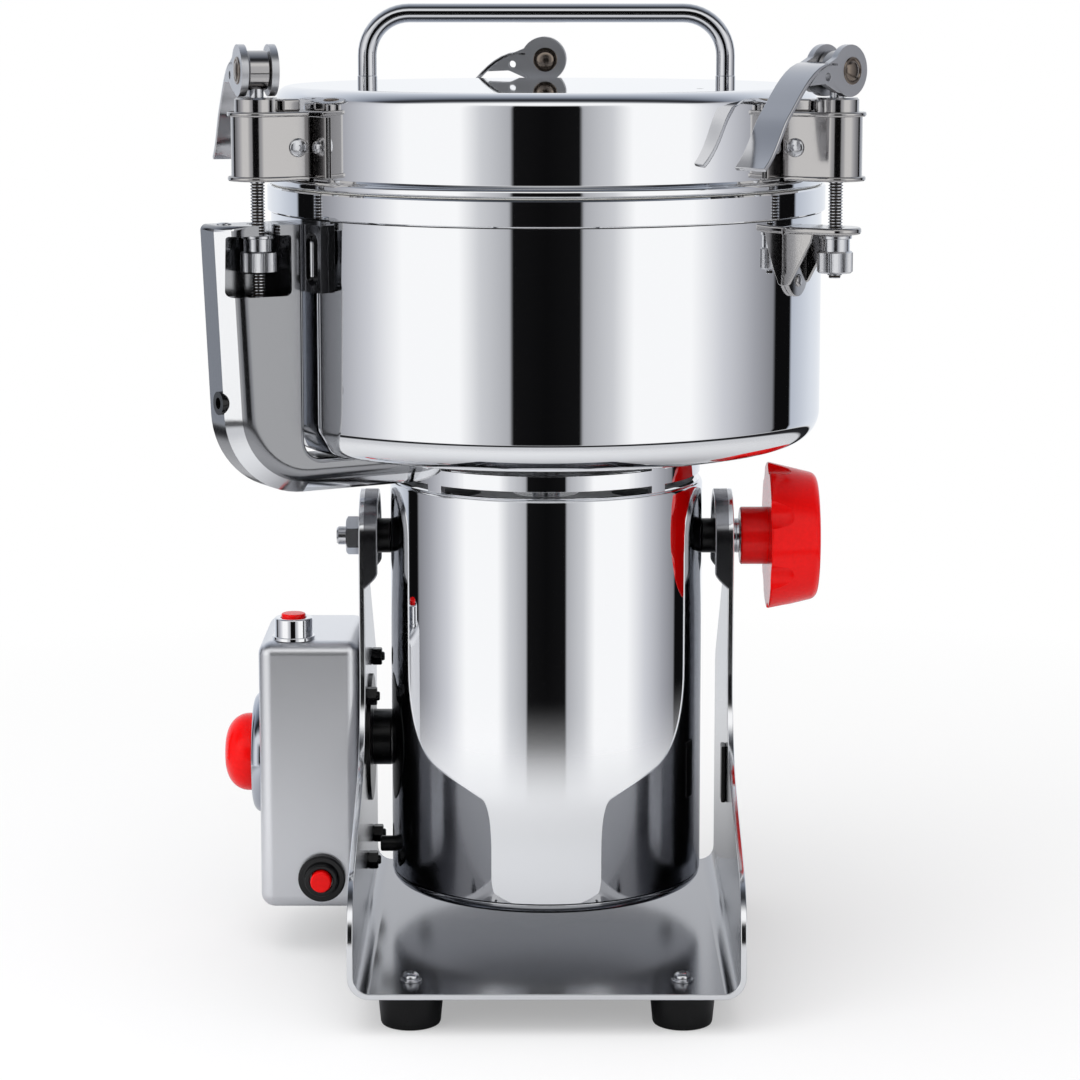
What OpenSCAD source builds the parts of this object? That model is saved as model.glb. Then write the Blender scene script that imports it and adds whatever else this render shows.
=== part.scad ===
/* [Frame] */
// Outer width of the U-bent frame
frame_w = 161; // [158:1:175]
// Length of the frame's base plate from front to back
frame_len = 200; // [180:1:230]
// How far the base plate reaches before the tilt axis
frame_front = 127; // [120:1:140]
// Thickness of the frame's sheet
sheet_t = 2.5; // [2:0.25:3]
// Outer radius of the frame's two long bends
bend_r = 9; // [6:1:12]
// Height of the tilt axis above the table
tilt_h = 183; // [180:1:195]
// Radius of the ear round each pivot
ear_r = 20.5; // [17:0.5:24]
// Depth of the rim that is pressed inward round each ear
ear_rim_h = 8; // [4:0.5:10]

/* [Feet] */
// Height of a rubber foot
foot_h = 15; // [10:1:18]
// Radius of a foot at its top
foot_top_r = 13.5; // [10:0.5:16]
// Radius of a foot where it stands
foot_bottom_r = 12.3; // [9:0.1:15]

/* [Control box] */
// Width of the control box, out from the frame's side
box_w = 44; // [40:1:55]
// Depth of the control box from front to back
box_d = 66; // [60:1:80]
// Height of the control box
box_h = 118.5; // [110:0.5:130]
// Height of the box's underside above the table
box_z = 21; // [18:1:28]
// Radius of the timer's bezel
bezel_r = 26.75; // [22:0.25:30]
// Radius of the timer knob at its foot
timer_knob_r = 17.1; // [13:0.1:20]
// Height of the timer knob beyond its bezel
timer_knob_h = 13; // [8:0.5:18]

/* [Motor housing] */
// Outer radius of the motor housing
housing_r = 67.6; // [64:0.1:69]
// Wall of the motor housing
housing_wall = 1.2; // [0.8:0.1:2]
// Height of the housing's underside above the table
housing_z = 32.5; // [30:0.5:36]
// Height of the housing's top above the table
housing_top = 209; // [207:0.5:211]
// Outer radius of the vent collar between housing and bowl
collar_r = 66.5; // [62:0.1:67]
// Radius of the motor's laminated stator
stator_r = 50; // [45:1:54]
// Height of the stator and armature stacks
stack_h = 60; // [45:1:64]
// Radius of the armature
armature_r = 28; // [24:1:32]
// Diameter of the motor shaft
shaft_d = 12; // [10:0.5:14]

/* [Bowl] */
// Outer radius of the bowl
bowl_r = 117.5; // [116:0.5:121]
// Wall of the bowl
bowl_wall = 1.5; // [1:0.25:2]
// Height of the bowl's underside above the table
bowl_z = 227; // [226:0.5:229]
// Height of the bowl's rim above the table
rim_z = 336.3; // [334:0.1:338]
// Outer radius of the corner at the bowl's floor
bowl_corner_r = 13; // [8:0.5:16]
// Height of the band round the bowl's rim
band_h = 10.9; // [8:0.1:13]

/* [Blades] */
// Length of each blade from tip to tip
blade_len = 190; // [150:5:205]
// Width of a blade at the shaft
blade_w = 26; // [20:1:32]
// Thickness of a blade
blade_t = 3; // [2:0.5:4]

/* [Lid] */
// How far the lid's wall stands inside the bowl's
lid_step = 2.5; // [2:0.5:4]
// Height of the lid above the bowl's rim
lid_h = 41.4; // [38:0.2:46]
// Radius of the lid's upper edge
lid_edge_r = 6.3; // [3:0.1:9]
// Height of the handle above the lid
handle_h = 34.3; // [28:0.1:45]
// Distance between the handle's two legs, centre to centre
handle_span = 152.4; // [120:0.2:170]
// Diameter of the handle's rod
handle_d = 8; // [6:0.5:11]

/* [Clamps] */
// How far the three clamp rods stand outside the bowl's wall
rod_out = 18.2; // [17:0.1:22]
// Diameter of a clamp rod's thread
rod_d = 6; // [5:0.5:7]
// Height of a cam pin above its bracket
pin_rise = 16.5; // [14:0.5:22]
// Radius of the lever's two cam cheeks
cam_r = 10.5; // [9:0.25:11.5]
// Width of a lever over both cheeks
lever_w = 15.5; // [13:0.5:18]
// Radius of the knurled nut
nut_r = 7.3; // [6:0.1:8]

// Reach of a clamp lever from its pin
lever_reach = 54; // [48:1:58]

/* [Switch arm] */
// Width of the switch arm, along the bowl's rim
arm_w = 22; // [20:0.5:26]
// How far the arm's outer face stands outside the clamp rods, at its top
arm_out = 20.8; // [19:0.1:26]
// Outer radius of the arm's elbow
elbow_r = 35; // [24:1:38]

/* [Lock knob] */
// Radius of the lock knob at its back
knob_r = 32.2; // [26:0.2:36]
// Length of the lock knob's grip
knob_grip_h = 21.5; // [16:0.5:28]
// Diameter of the pivot bolt and of the lock knob's stud
pivot_d = 8; // [6:0.5:9]

/* [Fits] */
// Radial clearance of a running fit
run_fit = 0.06; // [0.02:0.01:0.1]
// Clearance between two fixed pieces that meet on a curve
seat_fit = 0.05; // [0.02:0.01:0.1]
// Gap between faces that turn or slide past each other
side_gap = 0.3; // [0.2:0.05:0.4]

/* [Hidden] */
$fn = 96;

// Segments of a rounded corner and of a bent strip
corner_steps = 6;
bend_steps = 10;

// Overrun of every cut
over = 1;

// Frame: side outline, ear and holes
frame_front_h = 57;
frame_neck_front_h = 94;
frame_rear_h = 115;
frame_neck_rear_h = 160;
front_corner_r = 14;
neck_corner_r = 24;
rear_corner_r = 14;
foot_in_side = 25;
foot_in_front = 18;
foot_in_rear = 16;
foot_screw_d = 4;
foot_screw_deep = 9;
washer_r = 4.5;
washer_t = 0.8;
screw_head_r = 3.4;
screw_head_h = 3.2;
screw_socket_r = 1.6;
screw_socket_h = 1.8;

// Control box: place, wall, lip and fasteners
box_front_y = -20;
box_edge_r = 6;
box_wall = 1.5;
box_lip = 16;
box_nut_r = 3.6;
box_nut_h = 4.4;
box_screw_d = 4;
box_screw_back = 6;
box_screw_shares = [[0.18, 0.78], [0.85, 0.85], [0.18, 0.16], [0.85, 0.16]];
timer_y = 13;
timer_share = 0.5274;
bezel_h = 4.5;
bezel_edge_r = 4;
timer_hole_r = 4.5;
timer_shaft_d = 6;
timer_shaft_in = 9;
timer_case = [24, 38, 44];
timer_crown = 3;
button_x = -109.5;
button_y = -10;
ring_r = 8.25;
ring_flange_r = 9.25;
ring_flange_h = 1.5;
ring_h = 9.5;
ring_deep = 18;
button_r = 5.25;
button_rise = 1.5;
button_press = 2;
overload_x = -97.6;
overload_z = 35.3;
overload_r = 10.3;
overload_flange_h = 3;
overload_neck_r = 7.2;
overload_neck_h = 2.6;
overload_deep = 20;
overload_cap_r = 4.6;
overload_cap_out = 3;
gland_x = -102;
gland_z = 40;
gland_r = 9;
gland_h = 13;
gland_bore_r = 3.6;

// Buffers on the frame's inner sides
buffer_r = 12.3;
buffer_y = 14;
buffer_share = 0.5823;
cover_r = 28;
cover_t = 1.5;
stub_r = 3.4;
stub_h = 4.6;
stub_z = 49;
stub_y = -14;
pad_y = -13;
pad_z = 80.5;
pad_w = 9;
pad_h = 25;
pad_t = 2;

// Motor housing, vent collar and pivots
base_edge_r = 4;
base_vent_r = 4;
base_vent_circle_r = 30;
base_vents = 8;
base_seam_h = 4.5;
collar_wall = 2.5;
collar_skirt_h = 6;
collar_bridge_w = 8;
collar_bridge_turn = 45;
slot_low_rise = 0.5;
slot_low_h = 3;
slot_high_rise = 10;
slot_high_h = 5;
bush_r = 7.5;
bolt_nut_r = 8.4;
bolt_nut_h = 6;
bolt_out = 10.5;
bolt_head_r = 7;
bolt_head_h = 4;

// Motor: brackets, bearings, brushes, fan
stack_z = 92;
air_gap = 1;
winding_slot_w = 24;
winding_slot_in = 32;
winding_slot_deep = 13;
winding_head_h = 12;
bracket_web_h = 8;
lower_bracket_z = 56;
upper_bracket_z = 194;
bracket_hub_r = 20;
bracket_rim_w = 8;
bracket_window_r = 11;
post_r = 3.5;
post_circle_r = 44;
bearing_r = 14;
bearing_h = 8;
commutator_r = 16;
commutator_z = 70;
commutator_h = 16;
brush_w = 8;
brush_h = 10;
brush_len = 24;
brush_gap = 0.1;
holder_wall = 2;
fan_z = 168;
fan_r = 37;
fan_h = 14;
fan_disc_t = 1.5;
fan_hub_r = 10;
fan_blades = 9;
shaft_z = 54;

// Bowl, its shaft seal and the blades
band_out = 1.5;
seal_hole_r = 12;
seal_flange_r = 17;
seal_flange_h = 3;
blade_low_rise = 10;
blade_high_rise = 35;
blade_shoulder_r = 9;
blade_shoulder_h = 4;
blade_nut_r = 10;
blade_nut_h = 9;
blade_tip_rise = 12;
blade_bend_share = 0.62;
blade_tip_share = 0.55;
shaft_end_h = 5;

// Lid, gasket and handle
lid_wall = 1.5;
lid_flange_out = 3;
lid_flange_h = 4.1;
lid_lip_t = 1;
lid_seam = 0.2;
gasket_in = 3;
gasket_h = 2.6;
gasket_gap = 0.1;
handle_bend_r = 18;
dimple_r = 1.5;
dimple_deep = 0.8;
dimple_x = 62.8;
dimple_y = -53;

// Clamps: azimuth of each rod, direction in which each lever points
clamp_turn = [210, 330, 90];
lever_turn = [107, 226, 178];
loop_wall = 1.5;
bracket_plate_r = 12;
bracket_plate_t = 2;
bracket_rise = 4.7;
bracket_h = 28;
collar_ring_r = 9;
wing_start = 3.2;
lug_t = 1.5;
lug_reach = 13;
lug_rise = 5;
lug_flange_w = 11;
lug_flange_in = 1;
cross_screw_out = 7.3;
cross_screw_rise = 13.5;
cross_screw_d = 4;
cross_head_r = 3.85;
cross_head_h = 1.6;
rivet_r = 2.6;
rivet_h = 1.3;
knuckle_w = 8.5;
knuckle_r = 8;
cheek_t = 3;
cam_offset = 0.9;
pin_d = 6;
pin_head_r = 5.6;
pin_head_h = 1.2;
strap_t = 1.8;
strap_fall_shares = [[0.167, 0.048], [0.43, 0.085], [0.575, -0.165], [0.732, -0.333]];
strap_flare_shares = [[0.732, -0.333], [0.805, -0.425], [0.86, -0.59], [1, -0.704]];
web_shares = [[0, 0.91], [1.14, 0.42], [1.9, 0.1], [2.57, -0.52], [1.62, -0.48], [0.86, -0.82], [0, -0.91]];
web_hole_shares = [1.47, -0.21];
web_hole_r = 1.7;
tab_len = 8;
tab_w = 10;
rod_end = 17.9;
left_rod_end = 29.3;
seat_drop = 14.1;
seat_t = 2.9;
seat_reach = 10.6;
seat_w = 20;
seat_back_t = 2;
seat_back_h = 26.3;
gusset_t = 2;
gusset_reach = 13;
gusset_h = 21.3;
nut_flange_r = 6.85;
nut_flange_h = 1.5;
nut_neck_r = 6;
nut_neck_h = 5;
nut_grip_h = 9;

// Switch arm and what it holds
arm_drop = 12.8;
arm_rise = 3;
arm_gap = 3;
arm_foot_gap = 0.5;
arm_wall = 1.5;
arm_foot_in = 5.2;
arm_corner_r = 2.5;
arm_inner_r = 8;
arm_pad_h = 4.2;
window_before = 9.7;
window_edge = 3.5;
window_h = 29;
notch_w = 9.5;
arm_back_h = 27.5;
arm_back_w = 12;
arm_slot_w = 5;
arm_slot_h = 18;
arm_slot_drop = 4.5;
arm_button_in = 7.5;
arm_button_y = -4;
arm_button_r = 3;
arm_button_h = 0.8;
grommet_rise = 39;
grommet_r = 4.8;
grommet_out = 1.2;
grommet_lip = 0.8;
switch_size = [26, 14, 20];
switch_rise = 52;
plunger_r = 2;
plunger_h = 9.5;
cable_r = 2.4;
cable_bend_r = 22;
cable_out = 3.3;

// Lock knob
knob_lobes = 7;
knob_front_r = 27;
knob_edge_r = 4;
knob_hub_r = 12.5;
knob_hub_h = 11.8;
knob_hub_bore_h = 16;
knob_flute_r = 10;
knob_flute_out = 7;
knob_front_skip = 9;
lock_washer_r = 7.5;
lock_washer_h = 3;
stud_in = 15;

// Derived sizes
frame_half = frame_w / 2;
frame_rear = frame_len - frame_front;
foot_x = frame_half - foot_in_side;
foot_front_y = foot_in_front - frame_front;
foot_rear_y = frame_rear - foot_in_rear;
plate_top = foot_h + sheet_t;
plate_inner = frame_half - sheet_t;
ear_top = tilt_h + ear_r;
box_left = frame_half + box_w;
box_rear_y = box_front_y + box_d;
box_top = box_z + box_h;
timer_z = box_z + timer_share * box_h;
buffer_z = box_z + buffer_share * box_h;
box_screw_places = [for (s = box_screw_shares) [box_front_y + s.x * box_d, box_z + s.y * box_h]];
housing_inner_r = housing_r - housing_wall;
base_seam_z = housing_z + base_seam_h;
collar_skirt_z = housing_top - collar_skirt_h;
bolt_seat_x = sqrt(pow(housing_inner_r, 2) - pow(bolt_head_r, 2)) - seat_fit;
shaft_r = shaft_d / 2;
stack_top = stack_z + stack_h;
rotor_bore_r = shaft_r + seat_fit;
pivot_r = pivot_d / 2;
blade_low_z = bowl_z + blade_low_rise;
blade_high_z = bowl_z + blade_high_rise;
slot_low_z = housing_top + slot_low_rise;
slot_high_z = housing_top + slot_high_rise;
band_r = bowl_r + band_out;
lid_r = bowl_r - lid_step;
rod_circle_r = bowl_r + rod_out;
bracket_bottom = rim_z + bracket_rise;
bracket_top = bracket_bottom + bracket_h;
lug_top = bracket_top + lug_rise;
lug_flange_bottom = bracket_bottom + lug_flange_in;
lug_flange_top = bracket_top - bracket_plate_t;
cross_screw_u = lid_r + cross_screw_out;
cross_screw_z = bracket_bottom + cross_screw_rise;
pin_z = bracket_top + pin_rise;
seat_top = rim_z - seat_drop;
lid_z = rim_z + lid_seam;
lid_top = rim_z + lid_h;
lid_flange_r = lid_r + lid_flange_out;
gasket_bottom = rim_z + gasket_gap;
gasket_r = lid_flange_r - lid_lip_t - seat_fit;
handle_r = handle_d / 2;
handle_line_z = lid_top + handle_h - handle_r;
rod_r = rod_d / 2;
pin_r = pin_d / 2;
loop_r = cam_r;
rivet_turn = asin((loop_r + lug_flange_w / 3) / lid_r);
web_hole_at = web_hole_shares * cam_r;
clamp_collar_top = pin_z - cam_r - side_gap;
timer_shaft_len = bezel_h + box_wall + timer_shaft_in;
seat_bottom = seat_top - seat_t;
seat_back_bottom = seat_bottom - seat_back_h;
gusset_bottom = seat_bottom - gusset_h;
rod_tip_z = seat_bottom - rod_end;
left_rod_tip_z = seat_bottom - left_rod_end;
nut_top = seat_bottom - side_gap;
nut_bottom = nut_top - nut_flange_h - nut_neck_h - nut_grip_h;
knob_back = frame_half + side_gap + lock_washer_h + side_gap;
knob_end = knob_back + knob_hub_h + knob_grip_h;
shaft_top = blade_high_z + blade_t + blade_nut_h + shaft_end_h;
bezel_x = box_left + bezel_h;
arm_top = rim_z - arm_drop;
arm_bottom = housing_top + arm_rise;
arm_inner_reach = bowl_r + arm_gap;
arm_top_reach = rod_circle_r + arm_out;
arm_top_of_foot = bowl_z - arm_foot_gap;
window_in = rod_circle_r - window_before;
window_out = arm_top_reach - window_edge;
window_bottom = arm_top - window_h;
arm_back_bottom = arm_top - arm_back_h;
arm_slot_top = arm_top - arm_slot_drop;
arm_slot_bottom = arm_slot_top - arm_slot_h;
arm_button_u = arm_top_reach - arm_button_in;
grommet_z = arm_bottom + grommet_rise;
switch_z = arm_bottom + switch_rise;
cable_u = rod_circle_r + cable_out;
cable_z = arm_bottom + arm_wall + cable_r + side_gap;
grommet_face_u = arm_top_reach - arm_foot_in * (arm_top - grommet_z - grommet_r) / (arm_top - arm_bottom);
knob_tip_x = bezel_x + timer_knob_h;

// The footprint's centre is the origin, and the motor axis stands beside it
right_reach = rod_circle_r * cos(clamp_turn[1]) + bracket_plate_r;
rear_reach = rod_circle_r + bracket_plate_r;
axis_x = (knob_tip_x - right_reach) / 2;
axis_y = (frame_front - rear_reach) / 2;

// Geometry helpers
function unit(v) = v / norm(v);

// The arc that rounds corner q between p and s with radius r
function corner(p, q, s, r) =
    let (a = unit(p - q), b = unit(s - q), half = acos(a * b) / 2,
         c = q + unit(a + b) * r / sin(half),
         from = q + a * r / tan(half) - c, to = q + b * r / tan(half) - c,
         a0 = atan2(from.y, from.x), sweep = (atan2(to.y, to.x) - a0 + 540) % 360 - 180)
    [for (i = [0:corner_steps]) c + r * [cos(a0 + sweep * i / corner_steps), sin(a0 + sweep * i / corner_steps)]];

// A closed outline from [x, y, corner radius] points
function rounded(pts) =
    let (n = len(pts), at = [for (p = pts) [p.x, p.y]])
    [for (i = [0:n - 1])
        each pts[i].z > 0 ? corner(at[(i + n - 1) % n], at[i], at[(i + 1) % n], pts[i].z) : [at[i]]];

// A point on the cubic curve with the four control points c
function bezier(c, t) =
    pow(1 - t, 3) * c[0] + 3 * t * pow(1 - t, 2) * c[1] + 3 * t * t * (1 - t) * c[2] + pow(t, 3) * c[3];

// The outline of a strip of thickness t that follows a line of points
function strip(line, t) =
    let (n = len(line),
         side = [for (i = [0:n - 1])
             let (d = unit(line[min(i + 1, n - 1)] - line[max(i - 1, 0)])) [-d.y, d.x] * t / 2])
    concat([for (i = [0:n - 1]) line[i] + side[i]], [for (i = [n - 1:-1:0]) line[i] - side[i]]);

// Places a piece of the mill, whose motor axis stands beside the origin
module on_axis() translate([axis_x, axis_y, 0]) children();

// Extrudes an outline drawn in (y, z) along +X, from x
module side_plate(x, t) translate([x, 0, 0]) rotate([90, 0, 90]) linear_extrude(t) children();

// Extrudes an outline drawn in (x, z) along +Y, from y
module front_plate(y, t) translate([0, y + t, 0]) rotate([90, 0, 0]) linear_extrude(t) children();

// A cylinder along +X, +Y or +Z from a point
module x_rod(at, r, h) translate(at) rotate([0, 90, 0]) cylinder(r = r, h = h);
module y_rod(at, r, h) translate(at) rotate([-90, 0, 0]) cylinder(r = r, h = h);
module z_rod(at, r, h) translate(at) cylinder(r = r, h = h);

// A round bar from z0 to z1 on the motor axis, and a ring
module bar(r, z0, z1) translate([0, 0, z0]) cylinder(r = r, h = z1 - z0);
module ring(r_out, r_in, z0, z1)
    difference() {
        bar(r_out, z0, z1);
        bar(r_in, z0 - over, z1 + over);
    }

// A low dome of radius r and height h on the plane z = 0
module dome(r, h) {
    ball = (r * r + h * h) / (2 * h);
    intersection() {
        translate([0, 0, h - ball]) sphere(r = ball);
        cylinder(r = r + over, h = h + over);
    }
}

// A cube from its middle in x and y, standing on z0
module block(size, x, y, z0)
    translate([x - size.x / 2, y - size.y / 2, z0]) cube(size);

// Turns a piece drawn with its clamp on +X to clamp i, and stands it on the clamp's rod
module at_clamp(i) rotate([0, 0, clamp_turn[i]]) children();
module at_lever(i)
    rotate([0, 0, clamp_turn[i]]) translate([rod_circle_r, 0, pin_z])
        rotate([0, 0, lever_turn[i] - clamp_turn[i]]) children();

// Frame
function frame_side() = rounded([
    [-frame_front, foot_h, 0],
    [-frame_front, frame_front_h, front_corner_r],
    [-ear_r, frame_neck_front_h, neck_corner_r],
    [-ear_r, tilt_h, 0],
    [ear_r, tilt_h, 0],
    [ear_r, frame_neck_rear_h, neck_corner_r],
    [frame_rear, frame_rear_h, rear_corner_r],
    [frame_rear, foot_h, 0]]);

module frame_channel()
    front_plate(-frame_front - over, frame_len + 2 * over)
        difference() {
            polygon(rounded([
                [-frame_half, ear_top + over, 0], [-frame_half, foot_h, bend_r],
                [frame_half, foot_h, bend_r], [frame_half, ear_top + over, 0]]));
            polygon(rounded([
                [-plate_inner, ear_top + 2 * over, 0], [-plate_inner, plate_top, bend_r - sheet_t],
                [plate_inner, plate_top, bend_r - sheet_t], [plate_inner, ear_top + 2 * over, 0]]));
        }

module ear_rim()
    side_plate(plate_inner - ear_rim_h + sheet_t, ear_rim_h - sheet_t)
        difference() {
            union() {
                translate([0, tilt_h]) circle(r = ear_r);
                translate([-ear_r, frame_neck_rear_h]) square([2 * ear_r, tilt_h - frame_neck_rear_h]);
            }
            translate([0, tilt_h]) circle(r = ear_r - sheet_t);
            translate([sheet_t - ear_r, frame_neck_rear_h - over])
                square([2 * (ear_r - sheet_t), tilt_h - frame_neck_rear_h + over]);
        }

module base_frame()
    color("silver")
        difference() {
            union() {
                intersection() {
                    frame_channel();
                    side_plate(-frame_half - over, frame_w + 2 * over)
                        union() {
                            polygon(frame_side());
                            translate([0, tilt_h]) circle(r = ear_r);
                        }
                }
                ear_rim();
                mirror([1, 0, 0]) ear_rim();
            }
            x_rod([-frame_half - over, 0, tilt_h], pivot_r + run_fit, frame_w + 2 * over);
            for (p = foot_places())
                z_rod([p.x, p.y, foot_h - over], foot_screw_d / 2 + seat_fit, sheet_t + 2 * over);
            for (p = box_screw_places)
                x_rod([-frame_half - over, p.x, p.y], box_screw_d / 2 + seat_fit, sheet_t + 2 * over);
        }

// Feet and the frame's screws
function foot_places() = [for (x = [-foot_x, foot_x], y = [foot_front_y, foot_rear_y]) [x, y]];

module rubber_feet()
    color("#1c1c1e")
        for (p = foot_places())
            difference() {
                translate([p.x, p.y, 0]) cylinder(r1 = foot_bottom_r, r2 = foot_top_r, h = foot_h);
                z_rod([p.x, p.y, foot_h - foot_screw_deep], foot_screw_d / 2 + seat_fit, foot_screw_deep + over);
            }

module frame_screws()
    color("gainsboro") {
        for (p = foot_places())
            difference() {
                translate([p.x, p.y, 0]) {
                    bar(foot_screw_d / 2, foot_h - foot_screw_deep, plate_top + washer_t);
                    bar(washer_r, plate_top, plate_top + washer_t);
                    translate([0, 0, plate_top + washer_t]) dome(screw_head_r, screw_head_h);
                }
                z_rod([p.x, p.y, plate_top + washer_t + screw_head_h - screw_socket_h],
                      screw_socket_r, screw_socket_h + over);
            }
        for (p = box_screw_places) {
            x_rod([-frame_half - box_screw_back, p.x, p.y], box_screw_d / 2, box_screw_back + sheet_t + box_nut_h);
            translate([-plate_inner, p.x, p.y]) rotate([0, 90, 0]) cylinder(r = box_nut_r, h = box_nut_h, $fn = 6);
        }
    }

// Control box and what sits in it
function box_outline(w, h, x, z, r) = rounded([[x, z, r], [x + w, z, 0], [x + w, z + h, 0], [x, z + h, r]]);

module box_body(d, edge)
    intersection() {
        front_plate(box_front_y + d, box_d - 2 * d)
            polygon(box_outline(box_w + over, box_h - 2 * d, d - box_left, box_z + d, edge));
        side_plate(d - box_left, box_w - d)
            polygon(rounded([
                [box_front_y + d, box_z + d, edge], [box_rear_y - d, box_z + d, edge],
                [box_rear_y - d, box_top - d, edge], [box_front_y + d, box_top - d, edge]]));
        translate([0, 0, box_z]) linear_extrude(box_h)
            polygon(rounded([
                [d - box_left, box_front_y + d, edge], [over - frame_half, box_front_y + d, 0],
                [over - frame_half, box_rear_y - d, 0], [d - box_left, box_rear_y - d, edge]]));
    }

module control_box_shell()
    color("#b9bbbe")
        difference() {
            box_body(0, box_edge_r);
            intersection() {
                box_body(box_wall, box_edge_r - box_wall);
                translate([-box_left, box_front_y, box_z]) cube([box_w - box_wall, box_d, box_h]);
            }
            translate([-frame_half - 2 * box_wall, box_front_y + box_lip, box_z + box_lip])
                cube([2 * box_wall + over, box_d - 2 * box_lip, box_h - 2 * box_lip]);
            for (p = box_screw_places)
                x_rod([-frame_half - 2 * box_wall, p.x, p.y], box_screw_d / 2 + seat_fit, 2 * box_wall + over);
            x_rod([-box_left - over, timer_y, timer_z], timer_hole_r, box_wall + 2 * over);
            z_rod([button_x, button_y, box_top - box_wall - over], ring_r - ring_flange_h + seat_fit, box_wall + 2 * over);
            y_rod([overload_x, box_front_y - over, overload_z], overload_neck_r + seat_fit, box_wall + 2 * over);
            y_rod([gland_x, box_rear_y - box_wall - over, gland_z], gland_r - ring_flange_h + seat_fit, box_wall + 2 * over);
        }

module timer_bezel()
    color("#c4c6c9")
        difference() {
            translate([-box_left, timer_y, timer_z]) rotate([0, -90, 0])
                rotate_extrude() polygon(concat(
                    [[0, 0], [bezel_r, 0]],
                    corner([bezel_r, 0], [bezel_r, bezel_h], [0, bezel_h], bezel_edge_r),
                    [[0, bezel_h]]));
            x_rod([-bezel_x - over, timer_y, timer_z], timer_hole_r, bezel_h + 2 * over);
        }

module timer_switch()
    color("#e4e0d4")
        difference() {
            translate([-box_left + box_wall, timer_y - timer_case.y / 2, timer_z - timer_case.z / 2]) cube(timer_case);
            x_rod([-box_left, timer_y, timer_z], timer_shaft_d / 2 + run_fit, box_wall + timer_shaft_in);
        }

module timer_knob()
    color("#e01b1b")
        translate([-bezel_x - side_gap, timer_y, timer_z]) rotate([0, -90, 0]) {
            intersection() {
                cylinder(r = timer_knob_r, h = timer_knob_h);
                translate([0, 0, timer_knob_h - timer_knob_r - timer_crown])
                    sphere(r = timer_knob_r + timer_crown);
            }
            bar(timer_shaft_d / 2, -timer_shaft_len, timer_crown);
        }

module button_ring()
    color("#d5d7da")
        translate([button_x, button_y, 0])
            difference() {
                union() {
                    bar(ring_flange_r, box_top, box_top + ring_flange_h);
                    bar(ring_r, box_top + ring_flange_h, box_top + ring_h);
                    bar(ring_r - ring_flange_h, box_top - ring_deep, box_top + over);
                }
                bar(button_r + run_fit, box_top - button_press - over, box_top + ring_h + over);
            }

module start_button()
    color("#e01b1b")
        translate([button_x, button_y, 0]) {
            bar(button_r, box_top, box_top + ring_h + button_rise - button_rise / 2);
            translate([0, 0, box_top + ring_h + button_rise / 2]) dome(button_r, button_rise / 2);
        }

module overload_collar()
    color("#1c1c1e")
        translate([overload_x, box_front_y, overload_z]) rotate([90, 0, 0])
            difference() {
                union() {
                    bar(overload_r, 0, overload_flange_h);
                    bar(overload_neck_r, -overload_deep, overload_flange_h + overload_neck_h);
                }
                bar(overload_cap_r + run_fit, -button_press - over, overload_flange_h + overload_neck_h + over);
            }

module overload_button()
    color("#e23a34")
        translate([overload_x, box_front_y, overload_z]) rotate([90, 0, 0])
            bar(overload_cap_r, 0, overload_flange_h + overload_neck_h + overload_cap_out);

module cord_gland()
    color("#1c1c1e")
        translate([gland_x, box_rear_y, gland_z]) rotate([-90, 0, 0])
            difference() {
                union() {
                    bar(gland_r, 0, gland_h / 2);
                    translate([0, 0, gland_h / 2])
                        cylinder(r1 = gland_r, r2 = gland_bore_r + gland_r / 3, h = gland_h / 2);
                    bar(gland_r - ring_flange_h, -box_wall - gland_h / 3, over);
                }
                bar(gland_bore_r, -box_wall - gland_h, gland_h + over);
            }

// Rubber buffer and pads between the frame and the housing
module side_buffer()
    color("#161618") {
        difference() {
            union() {
                x_rod([-plate_inner, buffer_y, buffer_z], cover_r, cover_t);
                x_rod([-plate_inner, buffer_y, buffer_z], buffer_r, plate_inner - housing_r - side_gap);
            }
            for (p = box_screw_places)
                x_rod([-plate_inner - over, p.x, p.y], box_nut_r + side_gap, box_nut_h + 2 * over);
        }
        translate([plate_inner - pad_t, pad_y - pad_w / 2, pad_z - pad_h / 2]) cube([pad_t, pad_w, pad_h]);
    }

module stop_stub()
    color("#161618")
        difference() {
            x_rod([-housing_r - stub_h, stub_y, stub_z], stub_r, 2 * stub_h);
            bar(housing_r + seat_fit, 0, housing_top);
        }

// Motor housing
module housing_shell()
    color("#d8dadd")
        difference() {
            ring(housing_r, housing_inner_r, base_seam_z, housing_top);
            x_rod([-housing_r - over, 0, tilt_h], pivot_r + seat_fit, 2 * (housing_r + over));
        }

module housing_base()
    color("#c9cbce")
        difference() {
            rotate_extrude() polygon(concat(
                [[0, housing_z]],
                [for (p = corner([0, housing_z], [housing_r, housing_z], [housing_r, base_seam_z], base_edge_r)) p],
                [[housing_r, base_seam_z], [housing_inner_r, base_seam_z]],
                corner([housing_inner_r, base_seam_z], [housing_inner_r, housing_z + housing_wall],
                       [0, housing_z + housing_wall], base_edge_r - housing_wall),
                [[0, housing_z + housing_wall]]));
            for (i = [0:base_vents - 1])
                rotate([0, 0, 360 * i / base_vents])
                    z_rod([base_vent_circle_r, 0, housing_z - over], base_vent_r, housing_wall + 2 * over);
        }

module collar_slot(z, h)
    difference() {
        ring(collar_r + over, collar_r - 2 * collar_wall, z, z + h);
        for (i = [0:3])
            rotate([0, 0, 90 * i + collar_bridge_turn])
                translate([0, -collar_bridge_w / 2, z - over]) cube([collar_r + 2 * over, collar_bridge_w, h + 2 * over]);
    }

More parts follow.
